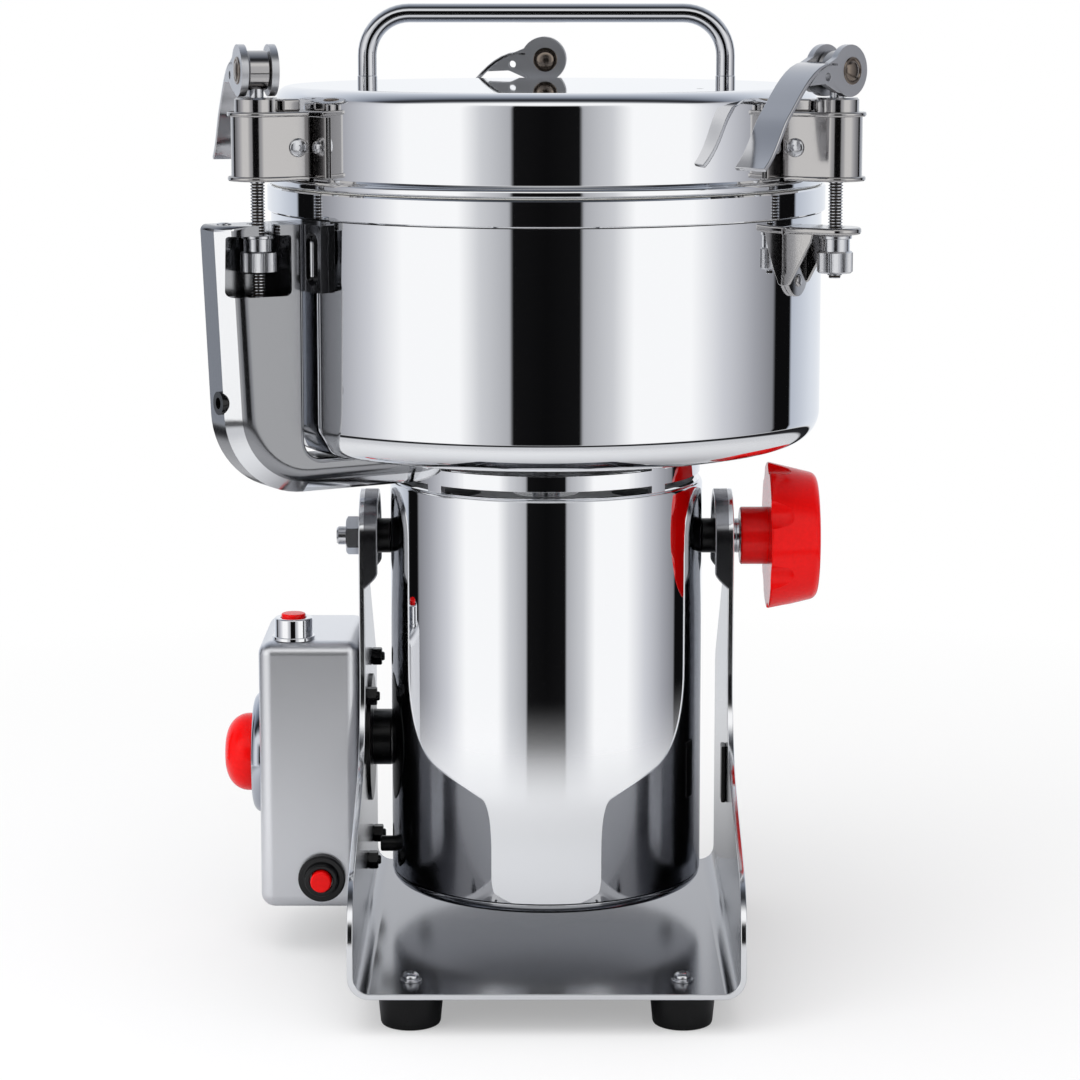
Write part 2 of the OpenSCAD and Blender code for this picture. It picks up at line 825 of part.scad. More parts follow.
module vent_collar()
    color("#d2d4d7")
        difference() {
            union() {
                ring(collar_r, collar_r - collar_wall, housing_top, bowl_z);
                ring(housing_inner_r - seat_fit, collar_r - collar_wall, collar_skirt_z, housing_top);
            }
            collar_slot(slot_low_z, slot_low_h);
            collar_slot(slot_high_z, slot_high_h);
            // The arm's foot opens into the collar, for the switch's cable
            rotate([0, 0, clamp_turn[0]]) x_rod([0, 0, cable_z], cable_r + seat_fit, collar_r + over);
        }

// Pivots
module pivot_bolt()
    color("gainsboro") {
        x_rod([-frame_half - bolt_out, 0, tilt_h], pivot_r, bolt_out + frame_half - bolt_seat_x + bolt_head_h);
        x_rod([-bolt_seat_x, 0, tilt_h], bolt_head_r, bolt_head_h);
        difference() {
            translate([-frame_half - bolt_nut_h - side_gap, 0, tilt_h]) rotate([0, 90, 0])
                cylinder(r = bolt_nut_r, h = bolt_nut_h, $fn = 6);
            x_rod([-frame_half - 2 * bolt_nut_h, 0, tilt_h], pivot_r + seat_fit, 3 * bolt_nut_h);
        }
    }

module pivot_bushes()
    color("#1a1a1c")
        for (side = [0, 1])
            mirror([side, 0, 0])
                difference() {
                    x_rod([-plate_inner + side_gap, 0, tilt_h], bush_r, plate_inner - housing_inner_r);
                    bar(housing_r + seat_fit, 0, ear_top);
                    x_rod([-frame_half, 0, tilt_h], pivot_r + seat_fit, frame_half);
                }

// Motor
module motor_bracket(z, post_z0, post_z1)
    difference() {
        union() {
            bar(housing_inner_r - seat_fit, z, z + bracket_web_h);
            for (i = [0:3])
                rotate([0, 0, 90 * i + 45]) z_rod([post_circle_r, 0, post_z0], post_r, post_z1 - post_z0);
        }
        bar(bearing_r + seat_fit, z - over, z + bracket_web_h + over);
        for (i = [0:3])
            rotate([0, 0, 90 * i])
                z_rod([(bracket_hub_r + housing_inner_r - bracket_rim_w) / 2, 0, z - over],
                      bracket_window_r, bracket_web_h + 2 * over);
    }

module upper_bracket() color("#8f9194") motor_bracket(upper_bracket_z, stack_top, upper_bracket_z + over);
module lower_bracket() color("#8f9194") motor_bracket(lower_bracket_z, lower_bracket_z, stack_z);

module bearings()
    color("#a9abae")
        for (z = [lower_bracket_z, upper_bracket_z])
            ring(bearing_r, shaft_r + run_fit, z, z + bearing_h);

module winding_slots(grow, z0, z1)
    for (side = [0, 1])
        mirror([side, 0, 0])
            translate([winding_slot_in - grow, -winding_slot_w / 2 - grow, z0])
                cube([winding_slot_deep + 2 * grow, winding_slot_w + 2 * grow, z1 - z0]);

module stator_core()
    color("#55575b")
        difference() {
            ring(stator_r, armature_r + air_gap, stack_z, stack_top);
            winding_slots(seat_fit, stack_z - over, stack_top + over);
        }

module stator_windings()
    color("#a85a28") winding_slots(0, stack_z - winding_head_h, stack_top + winding_head_h);

module brush_places()
    for (side = [0, 1]) mirror([0, side, 0]) translate([0, commutator_r + brush_gap, 0]) children();

module brush_holders()
    color("#2a2a2c")
        brush_places()
            difference() {
                block([brush_w + 2 * holder_wall, brush_len, commutator_z + brush_h + 2 * holder_wall
                       - lower_bracket_z - bracket_web_h], 0, brush_len / 2 + holder_wall, lower_bracket_z + bracket_web_h);
                block([brush_w + 2 * seat_fit, brush_len + 2 * over, brush_h + 2 * seat_fit],
                      0, brush_len / 2 + holder_wall, commutator_z + holder_wall - seat_fit);
            }

module carbon_brushes()
    color("#2f3033")
        brush_places() block([brush_w, brush_len, brush_h], 0, brush_len / 2, commutator_z + holder_wall);

module motor_shaft()
    color("#9fa2a6") {
        bar(shaft_r, shaft_z, shaft_top);
        bar(blade_shoulder_r, blade_low_z - blade_shoulder_h, blade_low_z);
    }

module armature_core() color("#6a5f4e") ring(armature_r, rotor_bore_r, stack_z, stack_top);
module commutator() color("#b87333") ring(commutator_r, rotor_bore_r, commutator_z, commutator_z + commutator_h);

module cooling_fan()
    color("#3a3a3d")
        difference() {
            union() {
                bar(fan_r, fan_z, fan_z + fan_disc_t);
                bar(fan_hub_r, fan_z, fan_z + fan_h);
                for (i = [0:fan_blades - 1])
                    rotate([0, 0, 360 * i / fan_blades])
                        translate([fan_hub_r - fan_disc_t, -fan_disc_t / 2, fan_z + fan_disc_t / 2])
                            cube([fan_r - fan_hub_r, fan_disc_t, fan_h - fan_disc_t]);
            }
            bar(rotor_bore_r, fan_z - over, fan_z + fan_h + over);
        }

// Bowl
module bowl()
    color("#d9dbde")
        rotate_extrude() polygon(concat(
            [[seal_hole_r, bowl_z]],
            corner([0, bowl_z], [bowl_r, bowl_z], [bowl_r, rim_z], bowl_corner_r),
            [[bowl_r, rim_z], [bowl_r - bowl_wall, rim_z]],
            corner([bowl_r - bowl_wall, rim_z], [bowl_r - bowl_wall, bowl_z + bowl_wall],
                   [0, bowl_z + bowl_wall], bowl_corner_r - bowl_wall),
            [[seal_hole_r, bowl_z + bowl_wall]]));

module bowl_band() color("#e2e4e7") ring(band_r, bowl_r + seat_fit, rim_z - band_h, rim_z);

module shaft_seal()
    color("#2b2b2d")
        difference() {
            union() {
                bar(seal_flange_r, bowl_z + bowl_wall, bowl_z + bowl_wall + seal_flange_h);
                bar(seal_hole_r - seat_fit, bowl_z - seal_flange_h, bowl_z + bowl_wall);
            }
            bar(shaft_r + run_fit, bowl_z - 2 * seal_flange_h, bowl_z + 3 * seal_flange_h);
        }

// Blades: flat at the shaft, with raised tips where rise is above zero
module blade(z, len, rise)
    difference() {
        intersection() {
            translate([0, -blade_w, 0])
                front_plate(0, 2 * blade_w)
                    polygon(strip([
                        [-len / 2, z + blade_t / 2 + rise], [-len / 2 * blade_bend_share, z + blade_t / 2],
                        [len / 2 * blade_bend_share, z + blade_t / 2], [len / 2, z + blade_t / 2 + rise]], blade_t));
            translate([0, 0, z - rise - over]) linear_extrude(2 * rise + blade_t + 2 * over)
                polygon([
                    [-len / 2, -blade_w / 2 * blade_tip_share], [0, -blade_w / 2], [len / 2, -blade_w / 2 * blade_tip_share],
                    [len / 2, blade_w / 2 * blade_tip_share], [0, blade_w / 2], [-len / 2, blade_w / 2 * blade_tip_share]]);
        }
        bar(rotor_bore_r, z - over, z + blade_t + over);
    }

module lower_blade() color("#aeb1b5") blade(blade_low_z, blade_len, 0);
module upper_blade() color("#aeb1b5") rotate([0, 0, 90]) blade(blade_high_z, blade_len, blade_tip_rise);
module blade_spacer() color("#9fa2a6") ring(blade_shoulder_r, rotor_bore_r, blade_low_z + blade_t, blade_high_z);

module blade_nut()
    color("gainsboro")
        difference() {
            translate([0, 0, blade_high_z + blade_t]) cylinder(r = blade_nut_r, h = blade_nut_h, $fn = 6);
            bar(rotor_bore_r, blade_high_z, shaft_top + over);
        }

// Lid
module lid_shell()
    color("#d9dbde")
        difference() {
            rotate_extrude() polygon(concat(
                [[lid_flange_r, lid_z], [lid_flange_r, lid_z + lid_flange_h], [lid_r, lid_z + lid_flange_h]],
                corner([lid_r, lid_z], [lid_r, lid_top], [0, lid_top], lid_edge_r),
                [[0, lid_top], [0, lid_top - lid_wall]],
                corner([0, lid_top - lid_wall], [lid_r - lid_wall, lid_top - lid_wall],
                       [lid_r - lid_wall, lid_z], lid_edge_r - lid_wall),
                [[lid_r - lid_wall, gasket_bottom + gasket_h + seat_fit],
                 [lid_flange_r - lid_lip_t, gasket_bottom + gasket_h + seat_fit], [lid_flange_r - lid_lip_t, lid_z]]));
            z_rod([dimple_x, dimple_y, lid_top - dimple_deep], dimple_r, dimple_deep + over);
        }

module lid_gasket()
    color("#e8e6df") ring(gasket_r, lid_r - lid_wall - gasket_in, gasket_bottom, gasket_bottom + gasket_h);

module lid_handle()
    color("#dcdee1") {
        for (side = [0, 1])
            mirror([side, 0, 0]) {
                z_rod([handle_span / 2, 0, lid_top], handle_r, handle_line_z - handle_bend_r - lid_top);
                translate([handle_span / 2 - handle_bend_r, 0, handle_line_z - handle_bend_r]) rotate([90, 0, 0])
                    rotate_extrude(angle = 90) translate([handle_bend_r, 0]) circle(r = handle_r);
            }
        x_rod([handle_bend_r - handle_span / 2, 0, handle_line_z], handle_r, handle_span - 2 * handle_bend_r);
    }

// Clamps, each drawn with its rod on +X at the rod circle
module bracket_plan(r)
    difference() {
        union() {
            translate([rod_circle_r, 0]) circle(r = r);
            translate([lid_r, -r]) square([rod_circle_r - lid_r, 2 * r]);
        }
        circle(r = lid_r + wing_start);
    }

module clamp_bracket() {
    difference() {
        union() {
            for (z = [bracket_bottom, bracket_top - bracket_plate_t])
                translate([0, 0, z]) linear_extrude(bracket_plate_t) bracket_plan(bracket_plate_r);
            translate([0, 0, bracket_bottom]) linear_extrude(bracket_top - bracket_bottom)
                difference() {
                    bracket_plan(loop_r);
                    translate([lid_r, loop_wall - loop_r]) square([rod_circle_r - lid_r, 2 * (loop_r - loop_wall)]);
                }
            z_rod([rod_circle_r, 0, bracket_top], collar_ring_r, clamp_collar_top - bracket_top);
            translate([lid_r + wing_start, -tab_w / 2, bracket_top]) cube([tab_len, tab_w, lug_top - bracket_top]);
        }
        z_rod([rod_circle_r, 0, bracket_bottom - over], rod_r + run_fit, pin_z - bracket_bottom);
        cross_hole();
    }
    clamp_lug();
}

module cross_hole()
    y_rod([cross_screw_u, -bracket_plate_r - over, cross_screw_z], cross_screw_d / 2 + seat_fit, 2 * (bracket_plate_r + over));

module clamp_lug() {
    cheek = loop_r - loop_wall - seat_fit;
    difference() {
        union() {
            intersection() {
                translate([lid_r, -cheek, bracket_bottom + bracket_plate_t + seat_fit])
                    cube([lug_reach, 2 * cheek, bracket_top - bracket_bottom - 2 * bracket_plate_t - 2 * seat_fit]);
                bar(lid_r + lug_reach, bracket_bottom, lug_top);
            }
            intersection() {
                ring(lid_r + lug_t + seat_fit, lid_r, lug_flange_bottom, lug_flange_top);
                translate([0, -cheek - lug_flange_w, lug_flange_bottom])
                    cube([lid_r + 2 * lug_t, 2 * (cheek + lug_flange_w), lug_flange_top - lug_flange_bottom]);
            }
        }
        bar(lid_r + seat_fit, bracket_bottom - over, lug_top);
        translate([lid_r - over, lug_t - cheek, bracket_bottom]) cube([lug_reach + 2 * over, 2 * (cheek - lug_t), lug_top - bracket_bottom]);
        cross_hole();
    }
}

module clamp_brackets() color("#c3c5c8") for (i = [0:2]) at_clamp(i) clamp_bracket();

module rivet(r, turn, z)
    rotate([0, 0, turn]) translate([r, 0, z]) rotate([0, 90, 0]) dome(rivet_r, rivet_h);

// Cross screws of the brackets, and the rivets that hold the lugs to the lid
module bracket_screws()
    color("gainsboro")
        for (i = [0:2])
            at_clamp(i) {
                y_rod([cross_screw_u, -loop_r, cross_screw_z], cross_screw_d / 2, 2 * loop_r);
                for (side = [0, 1])
                    mirror([0, side, 0]) {
                        translate([cross_screw_u, loop_r, cross_screw_z]) rotate([-90, 0, 0]) dome(cross_head_r, cross_head_h);
                        rivet(lid_r + lug_t + 2 * seat_fit, rivet_turn, cross_screw_z);
                    }
            }

// Seats of the two clamps that the switch arm doesn't hold
module clamp_seat() {
    difference() {
        union() {
            translate([0, 0, seat_bottom]) linear_extrude(seat_t) seat_plan();
            intersection() {
                ring(bowl_r + seat_back_t, bowl_r, seat_back_bottom, seat_bottom);
                side_plate(0, rod_circle_r) {
                    translate([0, seat_back_bottom + seat_w / 2]) circle(r = seat_w / 2);
                    translate([-seat_w / 2, seat_back_bottom + seat_w / 2])
                        square([seat_w, seat_bottom - seat_back_bottom - seat_w / 2]);
                }
            }
            for (v = [-seat_w / 2, seat_w / 2 - gusset_t])
                front_plate(v, gusset_t)
                    polygon([[bowl_r - seat_back_t, seat_bottom], [bowl_r + gusset_reach, seat_bottom],
                             [bowl_r + seat_back_t, gusset_bottom], [bowl_r - seat_back_t, gusset_bottom]]);
        }
        bar(bowl_r + seat_fit, 0, lid_top);
        z_rod([rod_circle_r, 0, seat_bottom - over], rod_r + side_gap, seat_t + 2 * over);
    }
    rivet(bowl_r + seat_back_t - rivet_h / 3, 0, seat_back_bottom + seat_w / 3);
}

module seat_plan()
    union() {
        translate([rod_circle_r, 0]) circle(r = seat_reach);
        translate([bowl_r - seat_back_t, -seat_w / 2]) square([rod_circle_r - bowl_r, seat_w]);
    }

module clamp_seats() color("#c3c5c8") for (i = [1, 2]) at_clamp(i) clamp_seat();

// Rod with its knuckle, knurled nut, and lever with its cam cheeks and pin
module clamp_rod(i, tip)
    color("#b9bcc0")
        difference() {
            union() {
                at_clamp(i) z_rod([rod_circle_r, 0, tip], rod_r, pin_z - tip);
                at_lever(i) y_rod([0, -knuckle_w / 2, 0], knuckle_r, knuckle_w);
            }
            at_lever(i) y_rod([0, -knuckle_w, 0], pin_r + run_fit, 2 * knuckle_w);
        }

module clamp_nut(i)
    color("#cdd0d3")
        at_clamp(i)
            difference() {
                union() {
                    z_rod([rod_circle_r, 0, nut_top - nut_flange_h], nut_flange_r, nut_flange_h);
                    z_rod([rod_circle_r, 0, nut_bottom + nut_grip_h], nut_neck_r, nut_neck_h);
                    z_rod([rod_circle_r, 0, nut_bottom], nut_r, nut_grip_h);
                }
                z_rod([rod_circle_r, 0, nut_bottom - over], rod_r + run_fit, nut_top - nut_bottom + 2 * over);
            }

function lever_line() = lever_reach * concat(
    [for (k = [0:bend_steps]) bezier(strap_fall_shares, k / bend_steps)],
    [for (k = [1:bend_steps]) bezier(strap_flare_shares, k / bend_steps)]);

module clamp_lever(i)
    color("#c6c8cb")
        at_lever(i) {
            front_plate(-lever_w / 2, lever_w) polygon(strip(lever_line(), strap_t));
            for (v = [-lever_w / 2, lever_w / 2 - cheek_t])
                difference() {
                    union() {
                        y_rod([cam_offset, v, 0], cam_r, cheek_t);
                        front_plate(v, cheek_t) polygon(cam_r * web_shares);
                    }
                    y_rod([web_hole_at.x, v - over, web_hole_at.y], web_hole_r, cheek_t + 2 * over);
                }
            y_rod([0, -lever_w / 2 - pin_head_h, 0], pin_r, lever_w + 2 * pin_head_h);
            for (v = [-lever_w / 2 - pin_head_h, lever_w / 2]) y_rod([0, v, 0], pin_head_r, pin_head_h);
        }

// Switch arm, drawn with the left clamp on +X
function arm_outline(d, end) = rounded([
    [end, arm_bottom + d, 0],
    [arm_top_reach - arm_foot_in - d, arm_bottom + d, elbow_r - d],
    [arm_top_reach - d, arm_top - (d > 0 ? arm_pad_h : 0), d > 0 ? 0 : arm_corner_r],
    [arm_inner_reach + d, arm_top - (d > 0 ? arm_pad_h : 0), 0],
    [arm_inner_reach + d, arm_top_of_foot - d, arm_inner_r + d],
    [end, arm_top_of_foot - d, 0]]);

module switch_arm()
    color("#c2c4c7")
        at_clamp(0) {
            difference() {
                front_plate(-arm_w / 2, arm_w) polygon(arm_outline(0, collar_r - collar_wall));
                front_plate(arm_wall - arm_w / 2, arm_w - 2 * arm_wall)
                    polygon(arm_outline(arm_wall, collar_r - collar_wall - over));
                bar(collar_r + seat_fit, 0, lid_top);
                // Window round the knurled nut, and the notch that the rod swings through
                front_plate(0, arm_w) polygon(rounded([
                    [window_in, window_bottom, arm_corner_r], [window_out, window_bottom, arm_corner_r],
                    [window_out, arm_top - arm_pad_h, 0], [window_in, arm_top - arm_pad_h, 0]]));
                translate([rod_circle_r - notch_w / 2, 0, window_bottom + arm_corner_r])
                    cube([notch_w, arm_w, arm_top - window_bottom]);
                z_rod([rod_circle_r, 0, window_bottom], rod_r + side_gap, arm_top - window_bottom + over);
                x_rod([arm_inner_reach, 0, grommet_z], grommet_r - grommet_lip, arm_top_reach - arm_inner_reach);
            }
            z_rod([arm_button_u, arm_button_y, arm_top], arm_button_r, arm_button_h);
            difference() {
                intersection() {
                    ring(arm_inner_reach + arm_wall / 2, bowl_r + seat_fit, arm_back_bottom, arm_top);
                    translate([0, -arm_w / 2, arm_back_bottom])
                        cube([arm_inner_reach + arm_wall, arm_w + arm_back_w, arm_top - arm_back_bottom]);
                }
                translate([0, (arm_w + arm_back_w) / 2, arm_slot_bottom])
                    cube([arm_inner_reach + arm_wall, arm_slot_w, arm_slot_top - arm_slot_bottom]);
            }
        }

module arm_grommet()
    color("#18181a")
        at_clamp(0)
            intersection() {
                difference() {
                    union() {
                        x_rod([arm_inner_reach, 0, grommet_z], grommet_r - grommet_lip - seat_fit, arm_top_reach - arm_inner_reach);
                        x_rod([grommet_face_u, 0, grommet_z], grommet_r, grommet_out);
                    }
                    x_rod([arm_inner_reach - over, 0, grommet_z], grommet_r / 2, arm_top_reach);
                }
                x_rod([grommet_face_u - 2 * arm_wall, 0, grommet_z], grommet_r, 2 * arm_wall + grommet_out);
            }

module safety_switch()
    color("#2c2c2f")
        at_clamp(0)
            difference() {
                translate([rod_circle_r - switch_size.x / 2, -switch_size.y / 2, switch_z]) cube(switch_size);
                z_rod([rod_circle_r, 0, switch_z + switch_size.z - plunger_h / 2 - button_press], plunger_r + run_fit,
                      plunger_h);
            }

module safety_plunger()
    color("#b02a20") at_clamp(0) z_rod([rod_circle_r, 0, switch_z + switch_size.z - plunger_h / 2], plunger_r, plunger_h);

module switch_cable()
    color("#151517")
        at_clamp(0) {
            z_rod([cable_u, 0, cable_z + cable_bend_r], cable_r, switch_z - cable_z - cable_bend_r);
            translate([cable_u - cable_bend_r, 0, cable_z + cable_bend_r]) rotate([90, 0, 0])
                rotate_extrude(angle = -90) translate([cable_bend_r, 0]) circle(r = cable_r);
            x_rod([housing_inner_r - collar_skirt_h, 0, cable_z], cable_r, cable_u - cable_bend_r - housing_inner_r + collar_skirt_h);
        }

// Lock knob, its stud and its washers, drawn along +X
module lock_knob()
    color("#e01818")
        translate([knob_back, 0, tilt_h]) rotate([0, 90, 0])
            difference() {
                union() {
                    bar(knob_hub_r, 0, knob_hub_h + over);
                    difference() {
                        rotate_extrude() polygon(concat(
                            [[0, knob_hub_h], [knob_r, knob_hub_h]],
                            corner([knob_r, knob_hub_h], [knob_front_r, knob_hub_h + knob_grip_h],
                                   [0, knob_hub_h + knob_grip_h], knob_edge_r),
                            [[0, knob_hub_h + knob_grip_h]]));
                        for (i = [0:knob_lobes - 1])
                            rotate([0, 0, 360 * (i + 0.5) / knob_lobes - 90])
                                translate([knob_r + knob_flute_out, 0, knob_hub_h - over])
                                    cylinder(r = knob_flute_r, h = knob_grip_h - knob_front_skip + over);
                    }
                }
                bar(pivot_r + seat_fit, -over, knob_hub_bore_h);
            }

module lock_stud()
    color("gainsboro") x_rod([housing_inner_r - stud_in, 0, tilt_h], pivot_r, knob_back + knob_hub_bore_h - housing_inner_r + stud_in);

module lock_washers()
    color("#c9cbce")
        difference() {
            x_rod([frame_half + side_gap, 0, tilt_h], lock_washer_r, lock_washer_h);
            x_rod([frame_half, 0, tilt_h], pivot_r + run_fit, 2 * lock_washer_h);
        }

on_axis() base_frame();
on_axis() rubber_feet();
on_axis() frame_screws();
on_axis() control_box_shell();
on_axis() timer_bezel();
on_axis() timer_switch();
on_axis() timer_knob();
on_axis() button_ring();
on_axis() start_button();
on_axis() overload_collar();
on_axis() overload_button();
on_axis() cord_gland();
on_axis() side_buffer();
on_axis() stop_stub();
on_axis() housing_shell();
on_axis() housing_base();
on_axis() vent_collar();
on_axis() pivot_bolt();
on_axis() pivot_bushes();
on_axis() stator_core();
on_axis() stator_windings();
on_axis() upper_bracket();
on_axis() lower_bracket();
on_axis() bearings();
on_axis() brush_holders();
on_axis() carbon_brushes();
on_axis() bowl();
on_axis() bowl_band();
on_axis() shaft_seal();
on_axis() clamp_seats();
on_axis() switch_arm();
on_axis() arm_grommet();
on_axis() safety_switch();
on_axis() switch_cable();
on_axis() safety_plunger();
on_axis() motor_shaft();
on_axis() armature_core();
on_axis() commutator();
on_axis() cooling_fan();
on_axis() lower_blade();
on_axis() upper_blade();
on_axis() blade_spacer();
on_axis() blade_nut();
on_axis() lock_knob();
on_axis() lock_stud();
on_axis() lock_washers();
on_axis() lid_shell();
on_axis() lid_handle();
on_axis() lid_gasket();
on_axis() clamp_brackets();
on_axis() bracket_screws();
on_axis() clamp_rod(0, left_rod_tip_z);  // clamp_rod_left
on_axis() clamp_rod(1, rod_tip_z);  // clamp_rod_right
on_axis() clamp_rod(2, rod_tip_z);  // clamp_rod_rear
on_axis() clamp_lever(0);  // clamp_lever_left
on_axis() clamp_lever(1);  // clamp_lever_right
on_axis() clamp_lever(2);  // clamp_lever_rear
on_axis() clamp_nut(0);  // clamp_nut_left
on_axis() clamp_nut(1);  // clamp_nut_right
on_axis() clamp_nut(2);  // clamp_nut_rear
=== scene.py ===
import math

import bmesh
import bpy
from mathutils import Matrix, Vector


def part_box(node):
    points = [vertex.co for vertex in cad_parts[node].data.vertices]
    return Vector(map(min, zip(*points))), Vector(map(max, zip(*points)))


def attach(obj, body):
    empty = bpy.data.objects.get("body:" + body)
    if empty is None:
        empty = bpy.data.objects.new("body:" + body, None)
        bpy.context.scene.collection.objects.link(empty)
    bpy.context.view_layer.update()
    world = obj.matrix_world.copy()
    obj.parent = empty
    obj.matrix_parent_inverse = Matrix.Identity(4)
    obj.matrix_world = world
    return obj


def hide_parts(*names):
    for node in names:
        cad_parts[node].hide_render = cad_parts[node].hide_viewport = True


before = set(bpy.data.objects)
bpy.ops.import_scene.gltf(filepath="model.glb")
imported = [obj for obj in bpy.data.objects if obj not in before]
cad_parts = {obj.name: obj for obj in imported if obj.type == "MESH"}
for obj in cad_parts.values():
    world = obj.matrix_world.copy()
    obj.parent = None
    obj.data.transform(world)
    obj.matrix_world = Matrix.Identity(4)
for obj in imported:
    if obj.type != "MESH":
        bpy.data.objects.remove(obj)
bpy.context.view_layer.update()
bpy.ops.object.select_all(action="DESELECT")

# Camera: it stands about 1.35 m before the mill, level with the clamps, and looks a little down.
# Every piece below is given in millimetres from the motor's axis where that meets the table.
MM = 0.001
bowl_low, bowl_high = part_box("bowl")
AXIS = Vector(((bowl_low.x + bowl_high.x) / 2, (bowl_low.y + bowl_high.y) / 2, 0))


def at(x, y, z):
    """The place x, y, z millimetres from the motor's axis at the table, in the scene's metres."""
    return AXIS + Vector((x, y, z)) * MM


camera_place, camera_tilt, lens_mm, film_mm, picture_rise = (-2.7, -1347.6, 417.9), 8.4, 104.8, 36, -0.08
bpy.ops.object.camera_add(location=at(*camera_place), rotation=(math.radians(90 - camera_tilt), 0, 0))
camera = bpy.context.object
camera.data.lens = lens_mm
camera.data.sensor_width = film_mm
camera.data.shift_y = picture_rise
bpy.context.scene.camera = camera
bpy.context.scene.view_settings.view_transform = "Standard"

# Studio: a white paper sweep under soft boxes. Polished steel shows little but its surroundings, so the
# room it mirrors is laid out here: a dark gap behind the camera, bright panels on both sides of it,
# grey walls further round with a dark flag on each side, and a white wall at the back.


def linear(hex_colour, alpha=1.0):
    """An sRGB colour such as "c8102e" as the linear colour that a socket takes."""
    channels = [int(hex_colour[i:i + 2], 16) / 255 for i in (0, 2, 4)]
    return (*[c / 12.92 if c <= 0.04045 else ((c + 0.055) / 1.055) ** 2.4 for c in channels], alpha)


def add_node(tree, kind, sockets=(), **settings):
    """Adds a shader node, and sets each input in sockets to a value or links it to a socket or a node."""
    made = tree.nodes.new("ShaderNode" + kind)
    for name, value in settings.items():
        setattr(made, name, value)
    for name, value in dict(sockets).items():
        if isinstance(value, bpy.types.Node):
            value = value.outputs[0]
        if isinstance(value, bpy.types.NodeSocket):
            tree.links.new(value, made.inputs[name])
        else:
            made.inputs[name].default_value = value
    return made


def set_ramp(ramp_node, stops):
    """Gives a colour ramp its stops: (position, hex colour)."""
    elements = ramp_node.color_ramp.elements
    while len(elements) < len(stops):
        elements.new(0.5)
    for element, (position, colour) in zip(elements, stops):
        element.position = position
        element.color = linear(colour)


world = bpy.data.worlds.new("studio_room")
bpy.context.scene.world = world
world.use_nodes = True
room = world.node_tree
room.nodes.clear()
direction = add_node(room, "SeparateXYZ", {0: add_node(room, "TexCoord").outputs["Generated"]})
to_front = add_node(room, "Math", {0: direction.outputs["Y"], 1: -1.0}, operation="MULTIPLY")
turn_from_front = add_node(room, "Math", {0: direction.outputs["X"], 1: to_front}, operation="ARCTAN2")
half_turns = add_node(room, "Math", {0: turn_from_front, 1: math.pi}, operation="DIVIDE")
share_round = add_node(room, "Math", {0: half_turns}, operation="ABSOLUTE")
# Walls, from the gap behind the camera (0) to the middle of the back wall (1)
walls = add_node(room, "ValToRGB", {0: share_round})
set_ramp(walls, [(0.0, "0c0c0d"), (0.076, "121213"), (0.083, "aeafb3"), (0.15, "cfd0d3"), (0.2, "ffffff"),
                 (0.34, "ffffff"), (0.43, "d0d1d6"), (0.53, "a3a4aa"), (0.597, "85868b"), (0.608, "0d0d0e"),
                 (0.672, "0d0d0e"), (0.682, "b9bfca"), (0.8, "d9dee6"), (1.0, "f1f3f6")])
# Ceiling, from the horizon in front (0) over the zenith (0.5) to the horizon behind (1)
rise = add_node(room, "Math", {0: direction.outputs["Z"], 1: to_front}, operation="ARCTAN2")
share_over = add_node(room, "Math", {0: rise, 1: math.pi}, operation="DIVIDE")
ceiling = add_node(room, "ValToRGB", {0: share_over})
set_ramp(ceiling, [(0.0, "ffffff"), (0.24, "ffffff"), (0.31, "77797e"), (0.36, "2b2c2f"), (0.42, "3a3c41"),
                   (0.5, "7d838f"), (0.7, "c3c9d3"), (0.86, "eef0f4"), (1.0, "f8f9fb")])
above = add_node(room, "MapRange", {"Value": direction.outputs["Z"], "From Min": 0.34, "From Max": 0.52},
                 interpolation_type="SMOOTHSTEP")
# Below the panels: a dark skirting, then the pale floor far off
drop = add_node(room, "MapRange", {"Value": direction.outputs["Z"], "From Min": -0.25, "From Max": -1.0})
skirting = add_node(room, "ValToRGB", {0: drop})
set_ramp(skirting, [(0.0, "dddee0"), (0.02, "1c1c1e"), (0.12, "2a2a2d"), (0.16, "cfd0d3"), (1.0, "b4b5b8")])
below = add_node(room, "MapRange", {"Value": direction.outputs["Z"], "From Min": -0.235, "From Max": -0.255})
COLOUR_A, COLOUR_B, MIXED_COLOUR = 6, 7, 2
round_about = add_node(room, "Mix", {0: below, COLOUR_A: walls, COLOUR_B: skirting}, data_type="RGBA")
mirrored = add_node(room, "Mix", {0: above, COLOUR_A: round_about.outputs[MIXED_COLOUR],
                                  COLOUR_B: ceiling}, data_type="RGBA")
ray = add_node(room, "LightPath")
soft_light = add_node(room, "Background", {"Color": linear("ffffff"), "Strength": 0.72})
mirror_light = add_node(room, "Background", {"Color": mirrored.outputs[MIXED_COLOUR], "Strength": 1.06})
white_back = add_node(room, "Background", {"Color": linear("ffffff"), "Strength": 1.0})
lit = add_node(room, "MixShader", {0: ray.outputs["Is Glossy Ray"], 1: soft_light, 2: mirror_light})
seen = add_node(room, "MixShader", {0: ray.outputs["Is Camera Ray"], 1: lit, 2: white_back})
add_node(room, "OutputWorld", {"Surface": seen})

# Two soft boxes above light the plastic, the rubber and the floor. Metal sees the room's panels instead.
for lamp_name, place, aim, watts, side in (("overhead_softbox", (-200, -500, 1500), (0, 0, 150), 11, 1.3),
                                           ("left_softbox", (-1300, -1100, 900), (0, 0, 220), 7, 0.9)):
    towards = at(*aim) - at(*place)
    bpy.ops.object.light_add(type="AREA", radius=side, location=at(*place),
                             rotation=towards.to_track_quat("-Z", "Y").to_euler())
    lamp = bpy.context.object
    lamp.name = lamp_name
    lamp.data.shape = "SQUARE"
    lamp.data.size = side
    lamp.data.energy = watts
    lamp.visible_glossy = False

